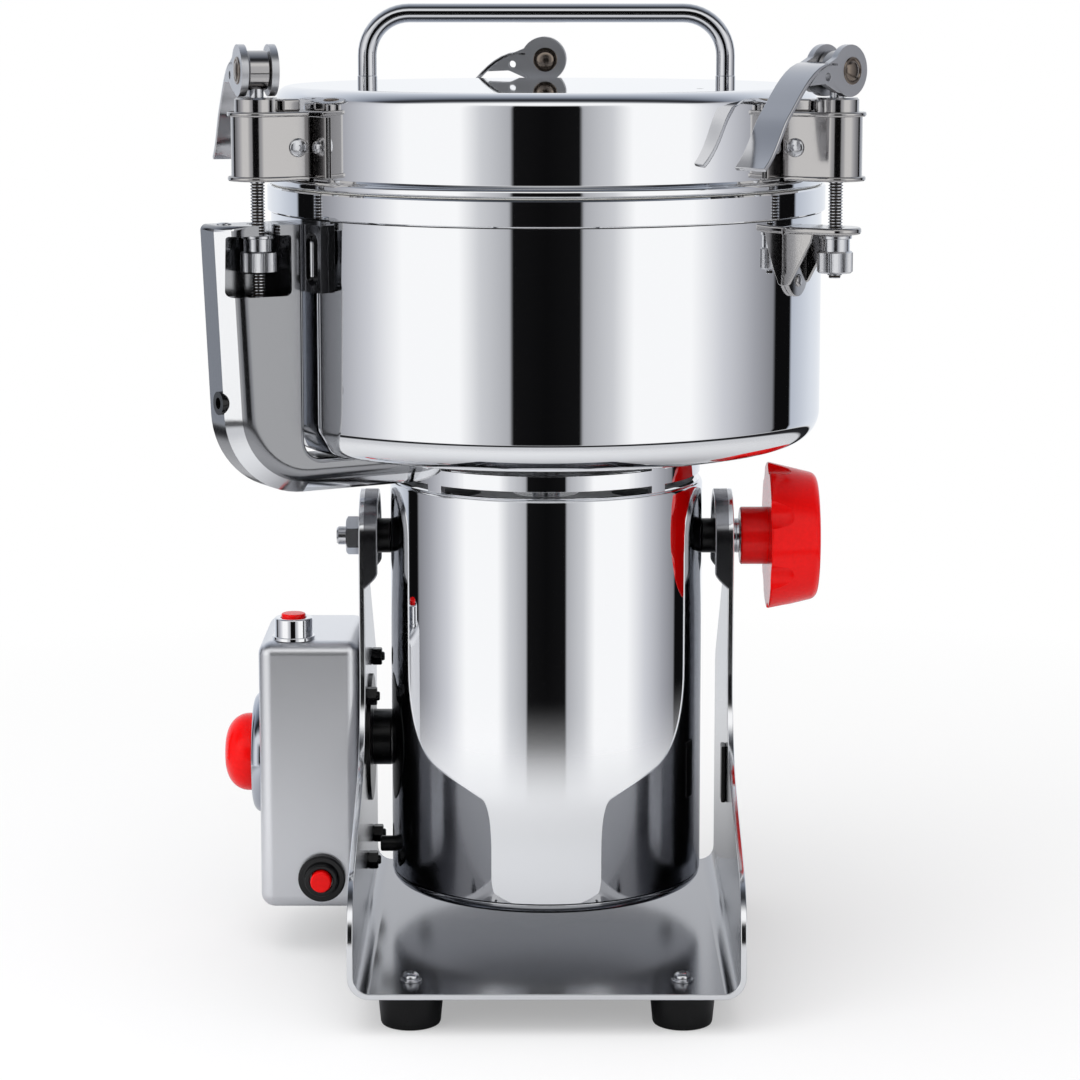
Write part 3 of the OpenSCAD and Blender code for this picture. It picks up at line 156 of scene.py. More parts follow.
# Floor: matt white paper. The camera sees it fade to white round the mill's soft shadow. Polished steel
# sees it with painted shade, greyer near the mill, and at its far edge it fades into the room.
floor_r = 4
bpy.ops.mesh.primitive_circle_add(vertices=96, radius=floor_r, fill_type="NGON", location=at(0, 0, 0))
floor = bpy.context.object
floor.name = "paper_floor"
bpy.ops.object.transform_apply(location=True, rotation=False, scale=False)
paper = bpy.data.materials.new("matt_white_paper")
paper.use_nodes = True
sheet = paper.node_tree
sheet.nodes.clear()
ray = add_node(sheet, "LightPath")
place = add_node(sheet, "TexCoord")
from_mill = add_node(sheet, "VectorMath", {0: place.outputs["Object"], 1: tuple(AXIS)}, operation="DISTANCE")
metres_off = from_mill.outputs["Value"]
fade = add_node(sheet, "MapRange", {"Value": metres_off, "From Min": 0.2, "From Max": 0.62},
                interpolation_type="SMOOTHSTEP")
reach = add_node(sheet, "MapRange", {"Value": metres_off, "From Min": 0.0, "From Max": 1.0})
# Painted shade: the floor that polished steel mirrors is greyer the nearer it lies to the mill
painted_floor_shade = add_node(sheet, "ValToRGB", {0: reach})
set_ramp(painted_floor_shade, [(0.12, "c2c3c6"), (0.3, "e2e3e5"), (0.45, "f6f6f7"), (0.9, "f6f6f7")])
mirrored_paper = add_node(sheet, "BsdfDiffuse", {"Color": painted_floor_shade})
matt = add_node(sheet, "BsdfDiffuse", {"Color": linear("f4f4f5")})
glow = add_node(sheet, "Emission", {"Color": linear("ffffff"), "Strength": 1.0})
nothing = add_node(sheet, "BsdfTransparent")
shadow_depth = add_node(sheet, "MapRange", {"Value": metres_off, "From Min": 0.1, "From Max": 0.75,
                                            "To Min": 0.35, "To Max": 1.0})
for_camera = add_node(sheet, "MixShader", {0: shadow_depth, 1: matt, 2: glow})
for_mirror = add_node(sheet, "MixShader", {0: fade, 1: mirrored_paper, 2: nothing})
unseen = add_node(sheet, "MixShader", {0: ray.outputs["Is Glossy Ray"], 1: matt, 2: for_mirror})
paper_surface = add_node(sheet, "MixShader", {0: ray.outputs["Is Camera Ray"], 1: unseen, 2: for_camera})
add_node(sheet, "OutputMaterial", {"Surface": paper_surface})
floor.data.materials.append(paper)
bpy.ops.object.select_all(action="DESELECT")

# Frame: one strip of 2.5 mm stainless sheet, bent up on both sides into a U. The edge round each ear is
# pressed inward, which stiffens it where the pivots go through. The faces are satin and the cut edges
# are polished, with a painted highlight that makes them much brighter.
RIGHT, LEFT, BACK, FRONT, UP = (1, 0, 0), (-1, 0, 0), (0, 1, 0), (0, -1, 0), (0, 0, 1)
plan_view, side_view, front_view = (RIGHT, BACK), (BACK, UP), (RIGHT, UP)


def round_corners(corners, steps=6):
    """An outline of (a, b, radius) corners, each rounded with its radius, as a list of (a, b) points."""
    outline = []
    for here, (a, b, radius) in enumerate(corners):
        corner = Vector((a, b))
        if not radius:
            outline.append(corner)
            continue
        back = (Vector(corners[here - 1][:2]) - corner).normalized()
        on = (Vector(corners[(here + 1) % len(corners)][:2]) - corner).normalized()
        half = back.angle(on) / 2
        centre = corner + (back + on).normalized() * radius / math.sin(half)
        start = corner + back * radius / math.tan(half) - centre
        turn = (corner + on * radius / math.tan(half) - centre).angle_signed(start)
        for step in range(steps + 1):
            spoke = start.copy()
            spoke.rotate(Matrix.Rotation(turn * step / steps, 2))
            outline.append(centre + spoke)
    return outline


def draw(name, points, closed=False):
    """Extrudes a line of vertices through the points and leaves it in edit mode, filled if it is closed."""
    bpy.ops.object.select_all(action="DESELECT")
    bpy.ops.mesh.primitive_plane_add(size=MM, location=points[0])
    piece = bpy.context.object
    piece.name = name
    bpy.ops.object.transform_apply(location=True, rotation=False, scale=False)
    bpy.ops.object.mode_set(mode="EDIT")
    bpy.ops.mesh.select_all(action="SELECT")
    bpy.ops.mesh.merge(type="CENTER")
    for here, there in zip(points, points[1:]):
        bpy.ops.mesh.extrude_region_move(TRANSFORM_OT_translate={"value": there - here})
    bpy.ops.mesh.select_all(action="SELECT")
    if closed:
        bpy.ops.mesh.edge_face_add()
    return piece


def apply_modifier(piece, kind, **settings):
    """Makes the piece the active one, adds a modifier with its settings and applies it."""
    if bpy.context.object.mode == "EDIT":
        bpy.ops.object.mode_set(mode="OBJECT")
    bpy.ops.object.select_all(action="DESELECT")
    piece.select_set(True)
    bpy.context.view_layer.objects.active = piece
    modifier = piece.modifiers.new(kind.lower(), kind)
    for name, value in settings.items():
        setattr(modifier, name, value)
    bpy.ops.object.modifier_apply(modifier=modifier.name)


def outward():
    """Merges the active piece's doubled vertices, turns every face outwards, and leaves edit mode."""
    bpy.ops.object.mode_set(mode="EDIT")
    bpy.ops.mesh.select_all(action="SELECT")
    bpy.ops.mesh.remove_doubles(threshold=MM / 100)
    bpy.ops.mesh.normals_make_consistent(inside=False)
    bpy.ops.object.mode_set(mode="OBJECT")


def coat(piece, *materials):
    """Gives a piece its materials. All its faces take the first."""
    for material in materials:
        piece.data.materials.append(material)
    return piece


def finish(piece, body, finishes, nodes, edge=0.0, facet=35):
    """Rounds the sharp edges, smooths the rest, gives the piece its materials and joins it to its body.

    The rounded edges take the last of the finishes; on a satin sheet that is its polished edge, painted
    brighter as a highlight."""
    if not piece.data.materials:
        coat(piece, *finishes)
    if edge:
        apply_modifier(piece, "BEVEL", width=edge * MM, segments=2, limit_method="ANGLE",
                       angle_limit=math.radians(facet), material=len(finishes) - 1, use_clamp_overlap=True)
    apply_modifier(piece, "WELD", merge_threshold=MM / 1000)
    bpy.ops.object.shade_smooth_by_angle(angle=math.radians(facet))
    apply_modifier(piece, "WEIGHTED_NORMAL", keep_sharp=True)
    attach(piece, body)
    if nodes:
        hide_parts(*nodes)
    piece.select_set(False)


def grained(name, roughness, unevenness, grain, relief, detail):
    """A material whose gloss varies over grain millimetres, with a relief of so many millimetres."""
    made = bpy.data.materials.new(name)
    made.use_nodes = True
    tree = made.node_tree
    surface = tree.nodes["Principled BSDF"]
    place = add_node(tree, "TexCoord")
    speckle = add_node(tree, "TexNoise", {"Vector": place.outputs["Object"], "Scale": 1 / (grain * MM),
                                          "Detail": detail}).outputs["Fac"]
    gloss = add_node(tree, "MapRange", {"Value": speckle, "To Min": roughness - unevenness,
                                        "To Max": roughness + unevenness})
    tree.links.new(gloss.outputs[0], surface.inputs["Roughness"])
    if relief:
        bump = add_node(tree, "Bump", {"Height": speckle, "Distance": relief * MM, "Strength": 1.0})
        tree.links.new(bump.outputs[0], surface.inputs["Normal"])
    return made, surface, speckle


def metal(name, colour, roughness, grain=0.3, unevenness=0.04, relief=0.0):
    """A bare metal. Its polish varies over grain millimetres, and relief is the depth of that grain."""
    made, surface, _ = grained(name, roughness, unevenness, grain, relief, 3.0)
    surface.inputs["Base Color"].default_value = linear(colour)
    surface.inputs["Metallic"].default_value = 1.0
    return made


# Stainless sheet with a fine satin polish: an even silver grey that blurs what it mirrors
satin_steel = metal("satin_polished_stainless", "97989c", 0.17, grain=1.5, unevenness=0.012)
# The same sheet where its cut edge was buffed, painted much brighter as a highlight: a bright line round each
# face
edge_highlight = metal("stainless_edge_painted_highlight", "eeeff1", 0.12, grain=1.2, unevenness=0.03)


def slab(name, outline, height, place=(0, 0, 0), along=UP, across=plan_view):
    """A plate: an outline of (a, b) points, drawn along the two directions across, and extruded along."""
    first, second = Vector(across[0]), Vector(across[1])
    points = [at(*place) + (first * a + second * b) * MM for a, b in outline]
    piece = draw(name, points + points[:1], closed=True)
    bpy.ops.mesh.extrude_region_move(TRANSFORM_OT_translate={"value": Vector(along) * height * MM})
    outward()
    return piece


def trim(piece, tool, how="DIFFERENCE"):
    """Cuts the tool's shape out of the piece, or joins or crosses them, and takes the tool away."""
    apply_modifier(piece, "BOOLEAN", operation=how, object=tool, solver="EXACT")
    bpy.data.objects.remove(tool)
    return piece


plate_face, sheet_t, bend_r, base_low = 80.5, 2.5, 9, 15
ear_half, ear_top, rim_foot, rim_full, rim_reach = 20.5, 203.5, 159, 170, 8
# The corners of the side view that aren't the ear's, as (height, radius), and what the cuts stand past it
front_y, back_y = -127, 73
front_corner, front_neck, back_neck, back_corner = (57, 30), (94, 45), (160, 24), (115, 14)
strip_front, strip_len, cut_half, past = -130, 210, 90, 5


def pressed(z):
    """How far the rim round the ear is pressed in at height z, from 0 at its foot to 1."""
    share = min(max((z - rim_foot) / (rim_full - rim_foot), 0), 1)
    return share * share * (3 - 2 * share)


bpy.context.scene.tool_settings.mesh_select_mode = (True, False, False)
bpy.ops.object.empty_add(location=AXIS)
middle = bpy.context.object

# The strip bent into a U, and then its side view cut out of it
inner_face = plate_face - sheet_t
strip_top, inner_low, inner_bend_r = ear_top + past, base_low + sheet_t, bend_r - sheet_t
u_profile = round_corners([(-plate_face, strip_top, 0), (-plate_face, base_low, bend_r),
                           (plate_face, base_low, bend_r), (plate_face, strip_top, 0),
                           (inner_face, strip_top, 0), (inner_face, inner_low, inner_bend_r),
                           (-inner_face, inner_low, inner_bend_r), (-inner_face, strip_top, 0)], steps=8)
frame_piece = slab("bent_frame", u_profile, strip_len, (0, strip_front, 0), BACK, front_view)
ear_r = ear_half - 0.05
side_outline = round_corners([(front_y, base_low - 1, 0), (front_y, *front_corner), (-ear_half, *front_neck),
                              (-ear_half, ear_top, ear_r), (ear_half, ear_top, ear_r),
                              (ear_half, *back_neck), (back_y, *back_corner), (back_y, base_low - 1, 0)],
                             steps=12)
side_cut = slab("side_view", side_outline, 2 * cut_half, (-cut_half, 0, 0), RIGHT, side_view)
for piece in (frame_piece, side_cut):
    coat(piece, satin_steel, edge_highlight)
# The cut faces take the painted edge highlight
for face in side_cut.data.polygons:
    face.material_index = 1
trim(frame_piece, side_cut, "INTERSECT")
highlight_edge_r, sharp = 0.4, math.radians(50)
apply_modifier(frame_piece, "BEVEL", width=highlight_edge_r * MM, segments=2, limit_method="ANGLE",
               angle_limit=sharp, material=1)

# The rim round each ear, which runs out in an S-curve down the edges of the neck
lip_half, lip_top, lip_low, shy = ear_half - sheet_t, ear_top - sheet_t, 150, 0.02
lip_out = ear_half - shy
lip_outline = (round_corners([(-lip_out, lip_low, 0), (-lip_out, ear_top - shy, lip_out - 0.05),
                              (lip_out, ear_top - shy, lip_out - 0.05), (lip_out, lip_low, 0)], steps=12)
               + round_corners([(lip_half, lip_low, 0), (lip_half, lip_top, lip_half - 0.05),
                                (-lip_half, lip_top, lip_half - 0.05), (-lip_half, lip_low, 0)], steps=12))
lip = slab("ear_lip", lip_outline, rim_reach - 1, (plate_face - rim_reach, 0, 0), RIGHT, side_view)
run_in, run_half, lip_edge_r = 60, 30, 0.6
run_out = ([(run_in, lip_low - past), (inner_face, lip_low - past)]
           + [(plate_face - max(sheet_t, rim_reach * pressed(z)), z) for z in range(rim_foot, rim_full + 1)]
           + [(run_in, rim_full)])
trim(lip, slab("lip_run_out", run_out, 2 * run_half, (0, -run_half, 0), BACK, front_view))
apply_modifier(lip, "BEVEL", width=lip_edge_r * MM, segments=3, limit_method="ANGLE", angle_limit=sharp)
apply_modifier(lip, "MIRROR", use_axis=(True, False, False), mirror_object=middle)
trim(frame_piece, lip, "UNION")
finish(frame_piece, "base", (satin_steel, edge_highlight), ["base_frame"], facet=50)

# Feet: four tapered rubber buffers, moulded round a steel bush and screwed up under the base plate.
# The rubber is near black, with a soft sheen on its flanks.


def turned(name, profile, place, along=UP, out=RIGHT, steps=48, ring=False):
    """Spins a section, given as (radius, distance along the axis), about the axis that starts at place.

    A section that touches the axis at both ends closes itself; a ring's section is joined end to end."""
    along, out, start = Vector(along), Vector(out), at(*place)
    section = [start + (out * radius + along * distance) * MM for radius, distance in profile]
    piece = draw(name, section + section[:1] if ring else section)
    bpy.ops.mesh.spin(steps=steps, angle=math.tau, center=start, axis=along)
    outward()
    return piece


def join(name, pieces):
    """Makes one object of several meshes."""
    bpy.ops.object.select_all(action="DESELECT")
    for piece in pieces:
        piece.select_set(True)
    bpy.context.view_layer.objects.active = pieces[0]
    if len(pieces) > 1:
        bpy.ops.object.join()
    pieces[0].name = name
    return pieces[0]


def moulded(name, dark, light, roughness, grain=0.6, unevenness=0.06, relief=0.005, shine=0.3):
    """A moulded plastic or rubber, with the fine skin that its mould left. A shine of 0.5 is full gloss."""
    made, surface, speckle = grained(name, roughness, unevenness, grain, relief, 4.0)
    surface.inputs["Specular IOR Level"].default_value = shine
    shade = add_node(made.node_tree, "ValToRGB", {0: speckle})
    set_ramp(shade, [(0.3, dark), (0.7, light)])
    made.node_tree.links.new(shade.outputs[0], surface.inputs["Base Color"])
    return made


# Natural rubber, compression moulded: near black, dull but for a soft sheen along its flanks
foot_rubber = moulded("moulded_black_rubber", "060607", "0b0b0c", 0.3, shine=0.25)

foot_h, foot_top_r, foot_bottom_r, bush_r = 15, 13.5, 12.3, 4.2
foot_places = [(x, y) for y in (-109, 57) for x in (-55.5, 55.5)]
foot_section = [(0, 0.6), (bush_r, 0.6), (bush_r, 0), (foot_bottom_r - 1.2, 0), (foot_bottom_r - 0.35, 0.35),
                (foot_bottom_r, 1.2), (foot_top_r, foot_h - 1), (foot_top_r - 0.3, foot_h - 0.3),
                (foot_top_r - 1, foot_h), (0, foot_h)]
feet = join("moulded_feet", [turned("foot", foot_section, (x, y, 0)) for x, y in foot_places])
finish(feet, "base", (foot_rubber,), ["rubber_feet"], edge=0.15)

# Frame screws: socket head screws with washers hold the feet, and four bolts with black nuts hold the
# control box to the frame's left side. The heads are cold formed and bright, the nuts are blackened.
# Cold-formed stainless: bright, with a slightly frosted skin
bright_steel = metal("bright_stainless_fastener", "d6d7da", 0.2, grain=0.4, unevenness=0.04)
# Blackened steel: nearly black, with the gloss of an oiled surface
black_steel = moulded("blackened_steel_nut", "070708", "0d0d0e", 0.22, grain=0.3, unevenness=0.06, shine=0.3)


def round_bar(name, radius, low, high, place, along=UP, out=RIGHT, steps=48):
    """A plain bar between two distances along its axis: a pin, or a drill for a hole."""
    return turned(name, [(0, low), (radius, low), (radius, high), (0, high)], place, along, out, steps)


def hexagon(name, radius, height, place, along=UP, out=RIGHT, bore=0.0, crown=0.5):
    """A six-sided nut or socket: radius is across its flats, and crown chamfers the corners of both faces."""
    along, out, start = Vector(along), Vector(out), at(*place)
    corners = []
    for turn in range(6):
        spoke = out.copy()
        spoke.rotate(Matrix.Rotation(math.tau * turn / 6, 3, along))
        corners.append(start + spoke * radius / math.cos(math.pi / 6) * MM)
    piece = draw(name, corners + corners[:1], closed=True)
    bpy.ops.mesh.extrude_region_move(TRANSFORM_OT_translate={"value": along * height * MM})
    outward()
    if crown:
        corner_r = radius + radius * 0.155
        shape = [(0, 0), (radius, 0), (corner_r, crown), (corner_r, height - crown), (radius, height),
                 (0, height)]
        trim(piece, turned("chamfer", shape, place, along, out), "INTERSECT")
    if bore:
        trim(piece, round_bar("bore", bore, -1, height + 1, place, along, out))
    return piece


plate_top, washer_r, washer_t, head_r, head_h, socket_r, socket_deep = 17.5, 4.5, 0.8, 3.4, 3.2, 1.6, 1.9
screws = []
for x, y in foot_places:
    washer_section = [(head_r - 1, 0), (washer_r - 0.15, 0), (washer_r, 0.15), (washer_r, washer_t - 0.15),
                      (washer_r - 0.15, washer_t), (head_r - 1, washer_t)]
    washer = turned("washer", washer_section, (x, y, plate_top), ring=True)
    seat = plate_top + washer_t
    head_section = [(0, 0), (head_r, 0), *[(head_r * math.cos(a), 1 + (head_h - 1) * math.sin(a))
                                           for a in (0, 0.3, 0.6, 0.85, 1.05)], (0, head_h)]
    head = turned("head", head_section, (x, y, seat))
    trim(head, hexagon("socket", socket_r, head_h, (x, y, seat + head_h - socket_deep), crown=0))
    screws += [washer, head]
box_screw_places = [(-8.1, 113.4), (36.1, 121.7), (-8.1, 40), (36.1, 40)]
nut_face, nut_h, nut_r, box_screw_r = -78, 4.4, 3.6, 2
tip_section = [(0, 0), (box_screw_r, 0), (box_screw_r, nut_h + 0.7), (box_screw_r - 0.5, nut_h + 1.2),
               (0, nut_h + 1.2)]
nuts = []
for y, z in box_screw_places:
    nuts.append(hexagon("black_nut", nut_r, nut_h, (nut_face, y, z), RIGHT, BACK, bore=box_screw_r - 0.1))
    nuts.append(turned("screw_tip", tip_section, (nut_face, y, z), RIGHT, BACK, steps=24))
finish(join("frame_screw_heads", screws), "base", (bright_steel,), ["frame_screws"],
       edge=0.12)
finish(join("control_box_nuts", nuts), "base", (black_steel,), [], edge=0.12)

# Control box: a deep drawn shell of stainless sheet with a satin skin, bolted to the frame's left side.


def block(name, low, high, radius=0.0, steps=5):
    """A box between two corners, given in millimetres from the motor's axis, with all its edges rounded."""
    low, high = at(*low), at(*high)
    bpy.ops.object.select_all(action="DESELECT")
    bpy.ops.mesh.primitive_cube_add(size=1, location=(low + high) / 2, scale=high - low)
    piece = bpy.context.object
    piece.name = name
    bpy.ops.object.transform_apply(location=True, rotation=False, scale=True)
    if radius:
        bpy.ops.object.mode_set(mode="EDIT")
        bpy.ops.mesh.select_all(action="SELECT")
        bpy.ops.mesh.bevel(offset=radius * MM, segments=steps, affect="EDGES")
        bpy.ops.object.mode_set(mode="OBJECT")
    return piece


box_left, box_right, box_front, box_back = -124.5, -80.5, -20, 46
box_low, box_top, box_edge_r = 21, 139.5, 6
box_shell = block("drawn_control_box", (box_left, box_front, box_low), (box_right, box_back, box_top),
                  box_edge_r, 8)
# Holes below the start button's cap and behind the overload button's cap leave room for their strokes
ring_at, overload_at, button_hole_deep = (-109.5, -10, box_top), (-97.6, box_front, 35.3), 3
start_hole_r, overload_hole_r = 5.5, 4.9
for place, along, radius in ((ring_at, UP, start_hole_r), (overload_at, FRONT, overload_hole_r)):
    trim(box_shell, round_bar("button_hole", radius, -button_hole_deep, 1, place, along))
# Brighter than the frame, as thin drawn sheet polishes better
drawn_steel = metal("satin_drawn_stainless", "ecedf0", 0.33, grain=1.5, unevenness=0.012)
finish(box_shell, "base", (drawn_steel,), ["control_box_shell"])

# Timer: a chromed bezel on the box's face, a red moulded knob, and the clockwork behind them.
# Chrome plate: a blue-tinged mirror with no grain
chrome = metal("bright_chrome_plate", "c6cad3", 0.06, grain=3, unevenness=0.015)
# Red ABS: a full red with small clear highlights
red_plastic = moulded("moulded_red_abs", "ea0505", "f40707", 0.18, grain=1.5, unevenness=0.03, relief=0.002,
                      shine=0.22)
timer_y, timer_z, bezel_r, bezel_h, timer_r, knob_base = 13, 83.5, 26.75, 4.5, 17.1, 4.8
timer_at = (box_left, timer_y, timer_z)


def bevel(piece, radius, facet=30, segments=3):
    """Rounds a piece's sharp edges."""
    apply_modifier(piece, "BEVEL", width=radius * MM, segments=segments, limit_method="ANGLE",
                   angle_limit=math.radians(facet), use_clamp_overlap=True)
    return piece


bezel_in_r = timer_r + 1.2
bezel_section = [(bezel_in_r, 0), *round_corners([(bezel_r, 0, 0), (bezel_r, bezel_h, 4),
                                                  (bezel_in_r, bezel_h, 0.8), (bezel_in_r, 0, 0)],
                                                 steps=8)[:-1]]
bezel = turned("chromed_bezel", bezel_section, timer_at, LEFT, UP, steps=96, ring=True)
finish(bezel, "base", (chrome,), ["timer_bezel"])

dome_h, skirt_h, dome_steps = 12.8, 2.2, 16
knob_section = [(0, knob_base), (timer_r - 0.4, knob_base), (timer_r, knob_base + 0.4)]
for step in range(dome_steps + 1):
    bulge = math.pi / 2 * step / dome_steps
    knob_section.append((timer_r * math.cos(bulge) ** 0.7 if step < dome_steps else 0,
                         knob_base + skirt_h + (dome_h - skirt_h) * math.sin(bulge)))
timer_cap = turned("timer_cap", knob_section, timer_at, LEFT, UP, steps=96)
knob_face, grip_h, grip_root, grip_half, grip_half_t = box_left - knob_base, 11, 5, 13, 1.2
grip = block("timer_grip", (knob_face - grip_h, timer_y - grip_half, timer_z - grip_half_t),
             (knob_face - grip_root, timer_y + grip_half, timer_z + grip_half_t), 0.9)
trim(timer_cap, grip, "UNION")
bevel(timer_cap, 0.5, facet=40)
finish(timer_cap, "timer_knob", (red_plastic,), ["timer_knob"], edge=0.25)

# Cream nylon housing of the clockwork, seen only with the box open
cream_plastic = moulded("moulded_cream_nylon", "d9d0b4", "e3dbc2", 0.5)


def dress(slotted, *nodes):
    """Gives CAD nodes that keep their shape the material of the real piece."""
    for node in nodes:
        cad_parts[node].data.materials.clear()
        coat(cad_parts[node], slotted)


dress(cream_plastic, "timer_switch")

# Start button: a 16 mm panel button in a polished threaded ring on top of the box. Overload button: the
# red cap of the motor's circuit breaker, in a black collar low on the box's front face.
# Stainless steel, buffed until it mirrors the room
mirror_steel = metal("mirror_polished_stainless", "f0f1f3", 0.028, grain=60, unevenness=0.008)
# Black nylon: a glossy moulded skin
black_plastic = moulded("moulded_black_nylon", "060607", "0a0a0b", 0.12, grain=0.8, unevenness=0.03,
                        relief=0.002, shine=0.4)

ring_section = [(5.6, 0), *round_corners([(9.25, 0, 0), (9.25, 1.5, 0.4), (8.25, 1.5, 0), (8.25, 9.5, 0.9),
                                          (5.6, 9.5, 0.5), (5.6, 0, 0)], steps=4)[:-1]]
finish(turned("threaded_ring", ring_section, ring_at, steps=64, ring=True), "base",
       (mirror_steel,), ["button_ring"])
start_section = [(0, 1), *round_corners([(5.25, 1, 0), (5.25, 11.1, 0.7), (0, 11.2, 0)], steps=5)]
finish(turned("start_cap", start_section, ring_at), "start_button", (red_plastic,),
       ["start_button"])

collar_section = [(5.0, 0), *round_corners([(10.3, 0, 0), (10.3, 3, 0.8), (7.6, 3, 0.4), (7.2, 5.6, 0.9),
                                            (5.0, 5.6, 0.4), (5.0, 0, 0)], steps=4)[:-1]]
finish(turned("breaker_collar", collar_section, overload_at, FRONT, steps=64, ring=True), "base",
       (black_plastic,), ["overload_collar"])
cap_section = [(0, 1), *round_corners([(4.6, 1, 0), (4.6, 8.6, 1), (0, 8.6, 0)], steps=5)]
finish(turned("breaker_cap", cap_section, overload_at, FRONT), "overload_button",
       (red_plastic,), ["overload_button"])

# Cord gland: a moulded rubber sleeve, ribbed where it bends, in the box's rear face.
gland_section = [(0, 0), (9, 0), (9, 2.6), (8.4, 3), (7.4, 3.2)]
for rib in range(4):
    low = 4 + rib * 2.2
    gland_section += [(7.4 - rib * 0.35, low), (8.1 - rib * 0.4, low + 0.3), (8.1 - rib * 0.4, low + 1.2),
                      (7.4 - rib * 0.35, low + 1.5)]
gland_section += [(6.0, 13), (4.2, 13), (4.2, 9), (0, 9)]
gland_x, gland_z = -102, 40
finish(turned("ribbed_gland", gland_section, (gland_x, box_back, gland_z), BACK), "base",
       (foot_rubber,), ["cord_gland"], edge=0.15)

# Buffers: a rubber cylinder with a disc on the left plate, and a strip of rubber on the right one, keep
# the housing off the frame. A stub on the housing stops against them. All are glued on.
buffer_at = (-78, 14, 90)
disc_r, disc_t, buffer_r, buffer_h = 28, 1.5, 12.3, 10.1
buffer_section = [(0, 0), *round_corners([(disc_r, 0, 0), (disc_r, disc_t, 0.5), (buffer_r, disc_t, 0.4),
                                          (buffer_r, buffer_h, 0.9), (0, buffer_h, 0)], steps=4)]
pad_y, pad_z, pad_t, pad_half_w, pad_half_h = -13, 80.5, 2, 4.5, 12.5
pad = block("rubber_pad", (inner_face - pad_t, pad_y - pad_half_w, pad_z - pad_half_h),
            (inner_face, pad_y + pad_half_w, pad_z + pad_half_h), 0.6, 3)
buffers = join("frame_buffers", [turned("buffer", buffer_section, buffer_at, RIGHT, BACK), pad])
finish(buffers, "base", (foot_rubber,), ["side_buffer"])
stub_section = [(0, 0), *round_corners([(3.4, 0, 0), (3.4, 6.9, 0.8), (0, 6.9, 0)], steps=4)]
stub_at = (-65.3, -14, 49)
stub = turned("stop_peg", stub_section, stub_at, LEFT, BACK, steps=32)
finish(stub, "motor_unit", (foot_rubber,), ["stop_stub"])

# Motor housing: a drawn stainless tube with a pressed base cup, both buffed to a mirror. A ring with
# two rows of slots joins it to the bowl and lets the fan's air out.
housing_r, housing_low, shell_low, housing_top = 67.6, 32.5, 37, 209
on_axis, housing_steps, seam = (0, 0, 0), 160, 0.25
shell_section = [(housing_r - 1.2, shell_low), (housing_r - 0.4, shell_low), (housing_r, shell_low + 0.4),
                 (housing_r, housing_top - 1.6), (housing_r - 0.5, housing_top - 0.5),
                 (housing_r - 1.4, housing_top), (housing_r - 2.6, housing_top),
                 (housing_r - 2.6, housing_top - 1.2), (housing_r - 1.2, housing_top - 2)]
finish(turned("drawn_housing", shell_section, on_axis, steps=housing_steps, ring=True), "motor_unit",
       (mirror_steel,), ["housing_shell"])
base_section = [*round_corners([(0, housing_low, 0), (housing_r, housing_low, 4),
                                (housing_r, shell_low - seam, 0.2), (housing_r - 1.6, shell_low - seam, 0)],
                               steps=8), (housing_r - 1.6, shell_low), (0, shell_low)]
finish(turned("pressed_base_cup", base_section, on_axis, steps=housing_steps), "motor_unit",
       (mirror_steel,), ["housing_base"])


def pick(piece, chosen):
    """Selects, in edit mode, the faces for which chosen(place, normal) holds, in millimetres."""
    bpy.ops.object.mode_set(mode="EDIT")
    bpy.ops.mesh.select_all(action="DESELECT")
    mesh = bmesh.from_edit_mesh(piece.data)
    for face in mesh.faces:
        if chosen((face.calc_center_median() - AXIS) / MM, face.normal):
            face.select_set(True)
    mesh.select_flush_mode()
    bmesh.update_edit_mesh(piece.data)


def paint(piece, chosen, index=1):
    """Gives the chosen faces of the active piece another of its materials."""
    pick(piece, chosen)
    piece.active_material_index = index
    bpy.ops.object.material_slot_assign()
    bpy.ops.object.mode_set(mode="OBJECT")


collar_r, collar_wall, collar_top, bridge, slot_rows = 66.5, 2.5, 227, 8, ((209.5, 212.5), (219, 224))
collar_in_r = collar_r - collar_wall
collar = turned("slotted_ring", [(collar_in_r, housing_top), (collar_r - 0.5, housing_top),
                                 (collar_r, housing_top + 0.5), (collar_r, collar_top),
                                 (collar_in_r, collar_top)], on_axis, steps=housing_steps, ring=True)
slot_cutters = []
for low, high in slot_rows:
    for quarter in range(4):
        first = math.radians(45 + 90 * quarter) + bridge / 2 / collar_r
        out = Vector((math.cos(first), math.sin(first), 0))
        corners = [at(*(out * radius + Vector((0, 0, height))))
                   for radius, height in ((collar_in_r - 2, low), (collar_r + 2, low), (collar_r + 2, high),
                                          (collar_in_r - 2, high), (collar_in_r - 2, low))]
        slot_cutters.append(draw("slot", corners, closed=True))
        bpy.ops.mesh.spin(steps=40, angle=bridge / collar_r - math.pi / 2, center=AXIS, axis=UP)
        outward()
trim(collar, join("slots", slot_cutters))
# Its inside is painted black as shade, so that it reads dark through the slots
ring_inside_shade = moulded("painted_black_ring_shade", "050505", "0b0a0a", 0.6, shine=0.2)
coat(collar, mirror_steel, ring_inside_shade)
paint(collar, lambda place, normal: math.hypot(place.x, place.y) < collar_in_r + 0.3)
finish(collar, "motor_unit", (mirror_steel,), ["vent_collar"], edge=0.1)

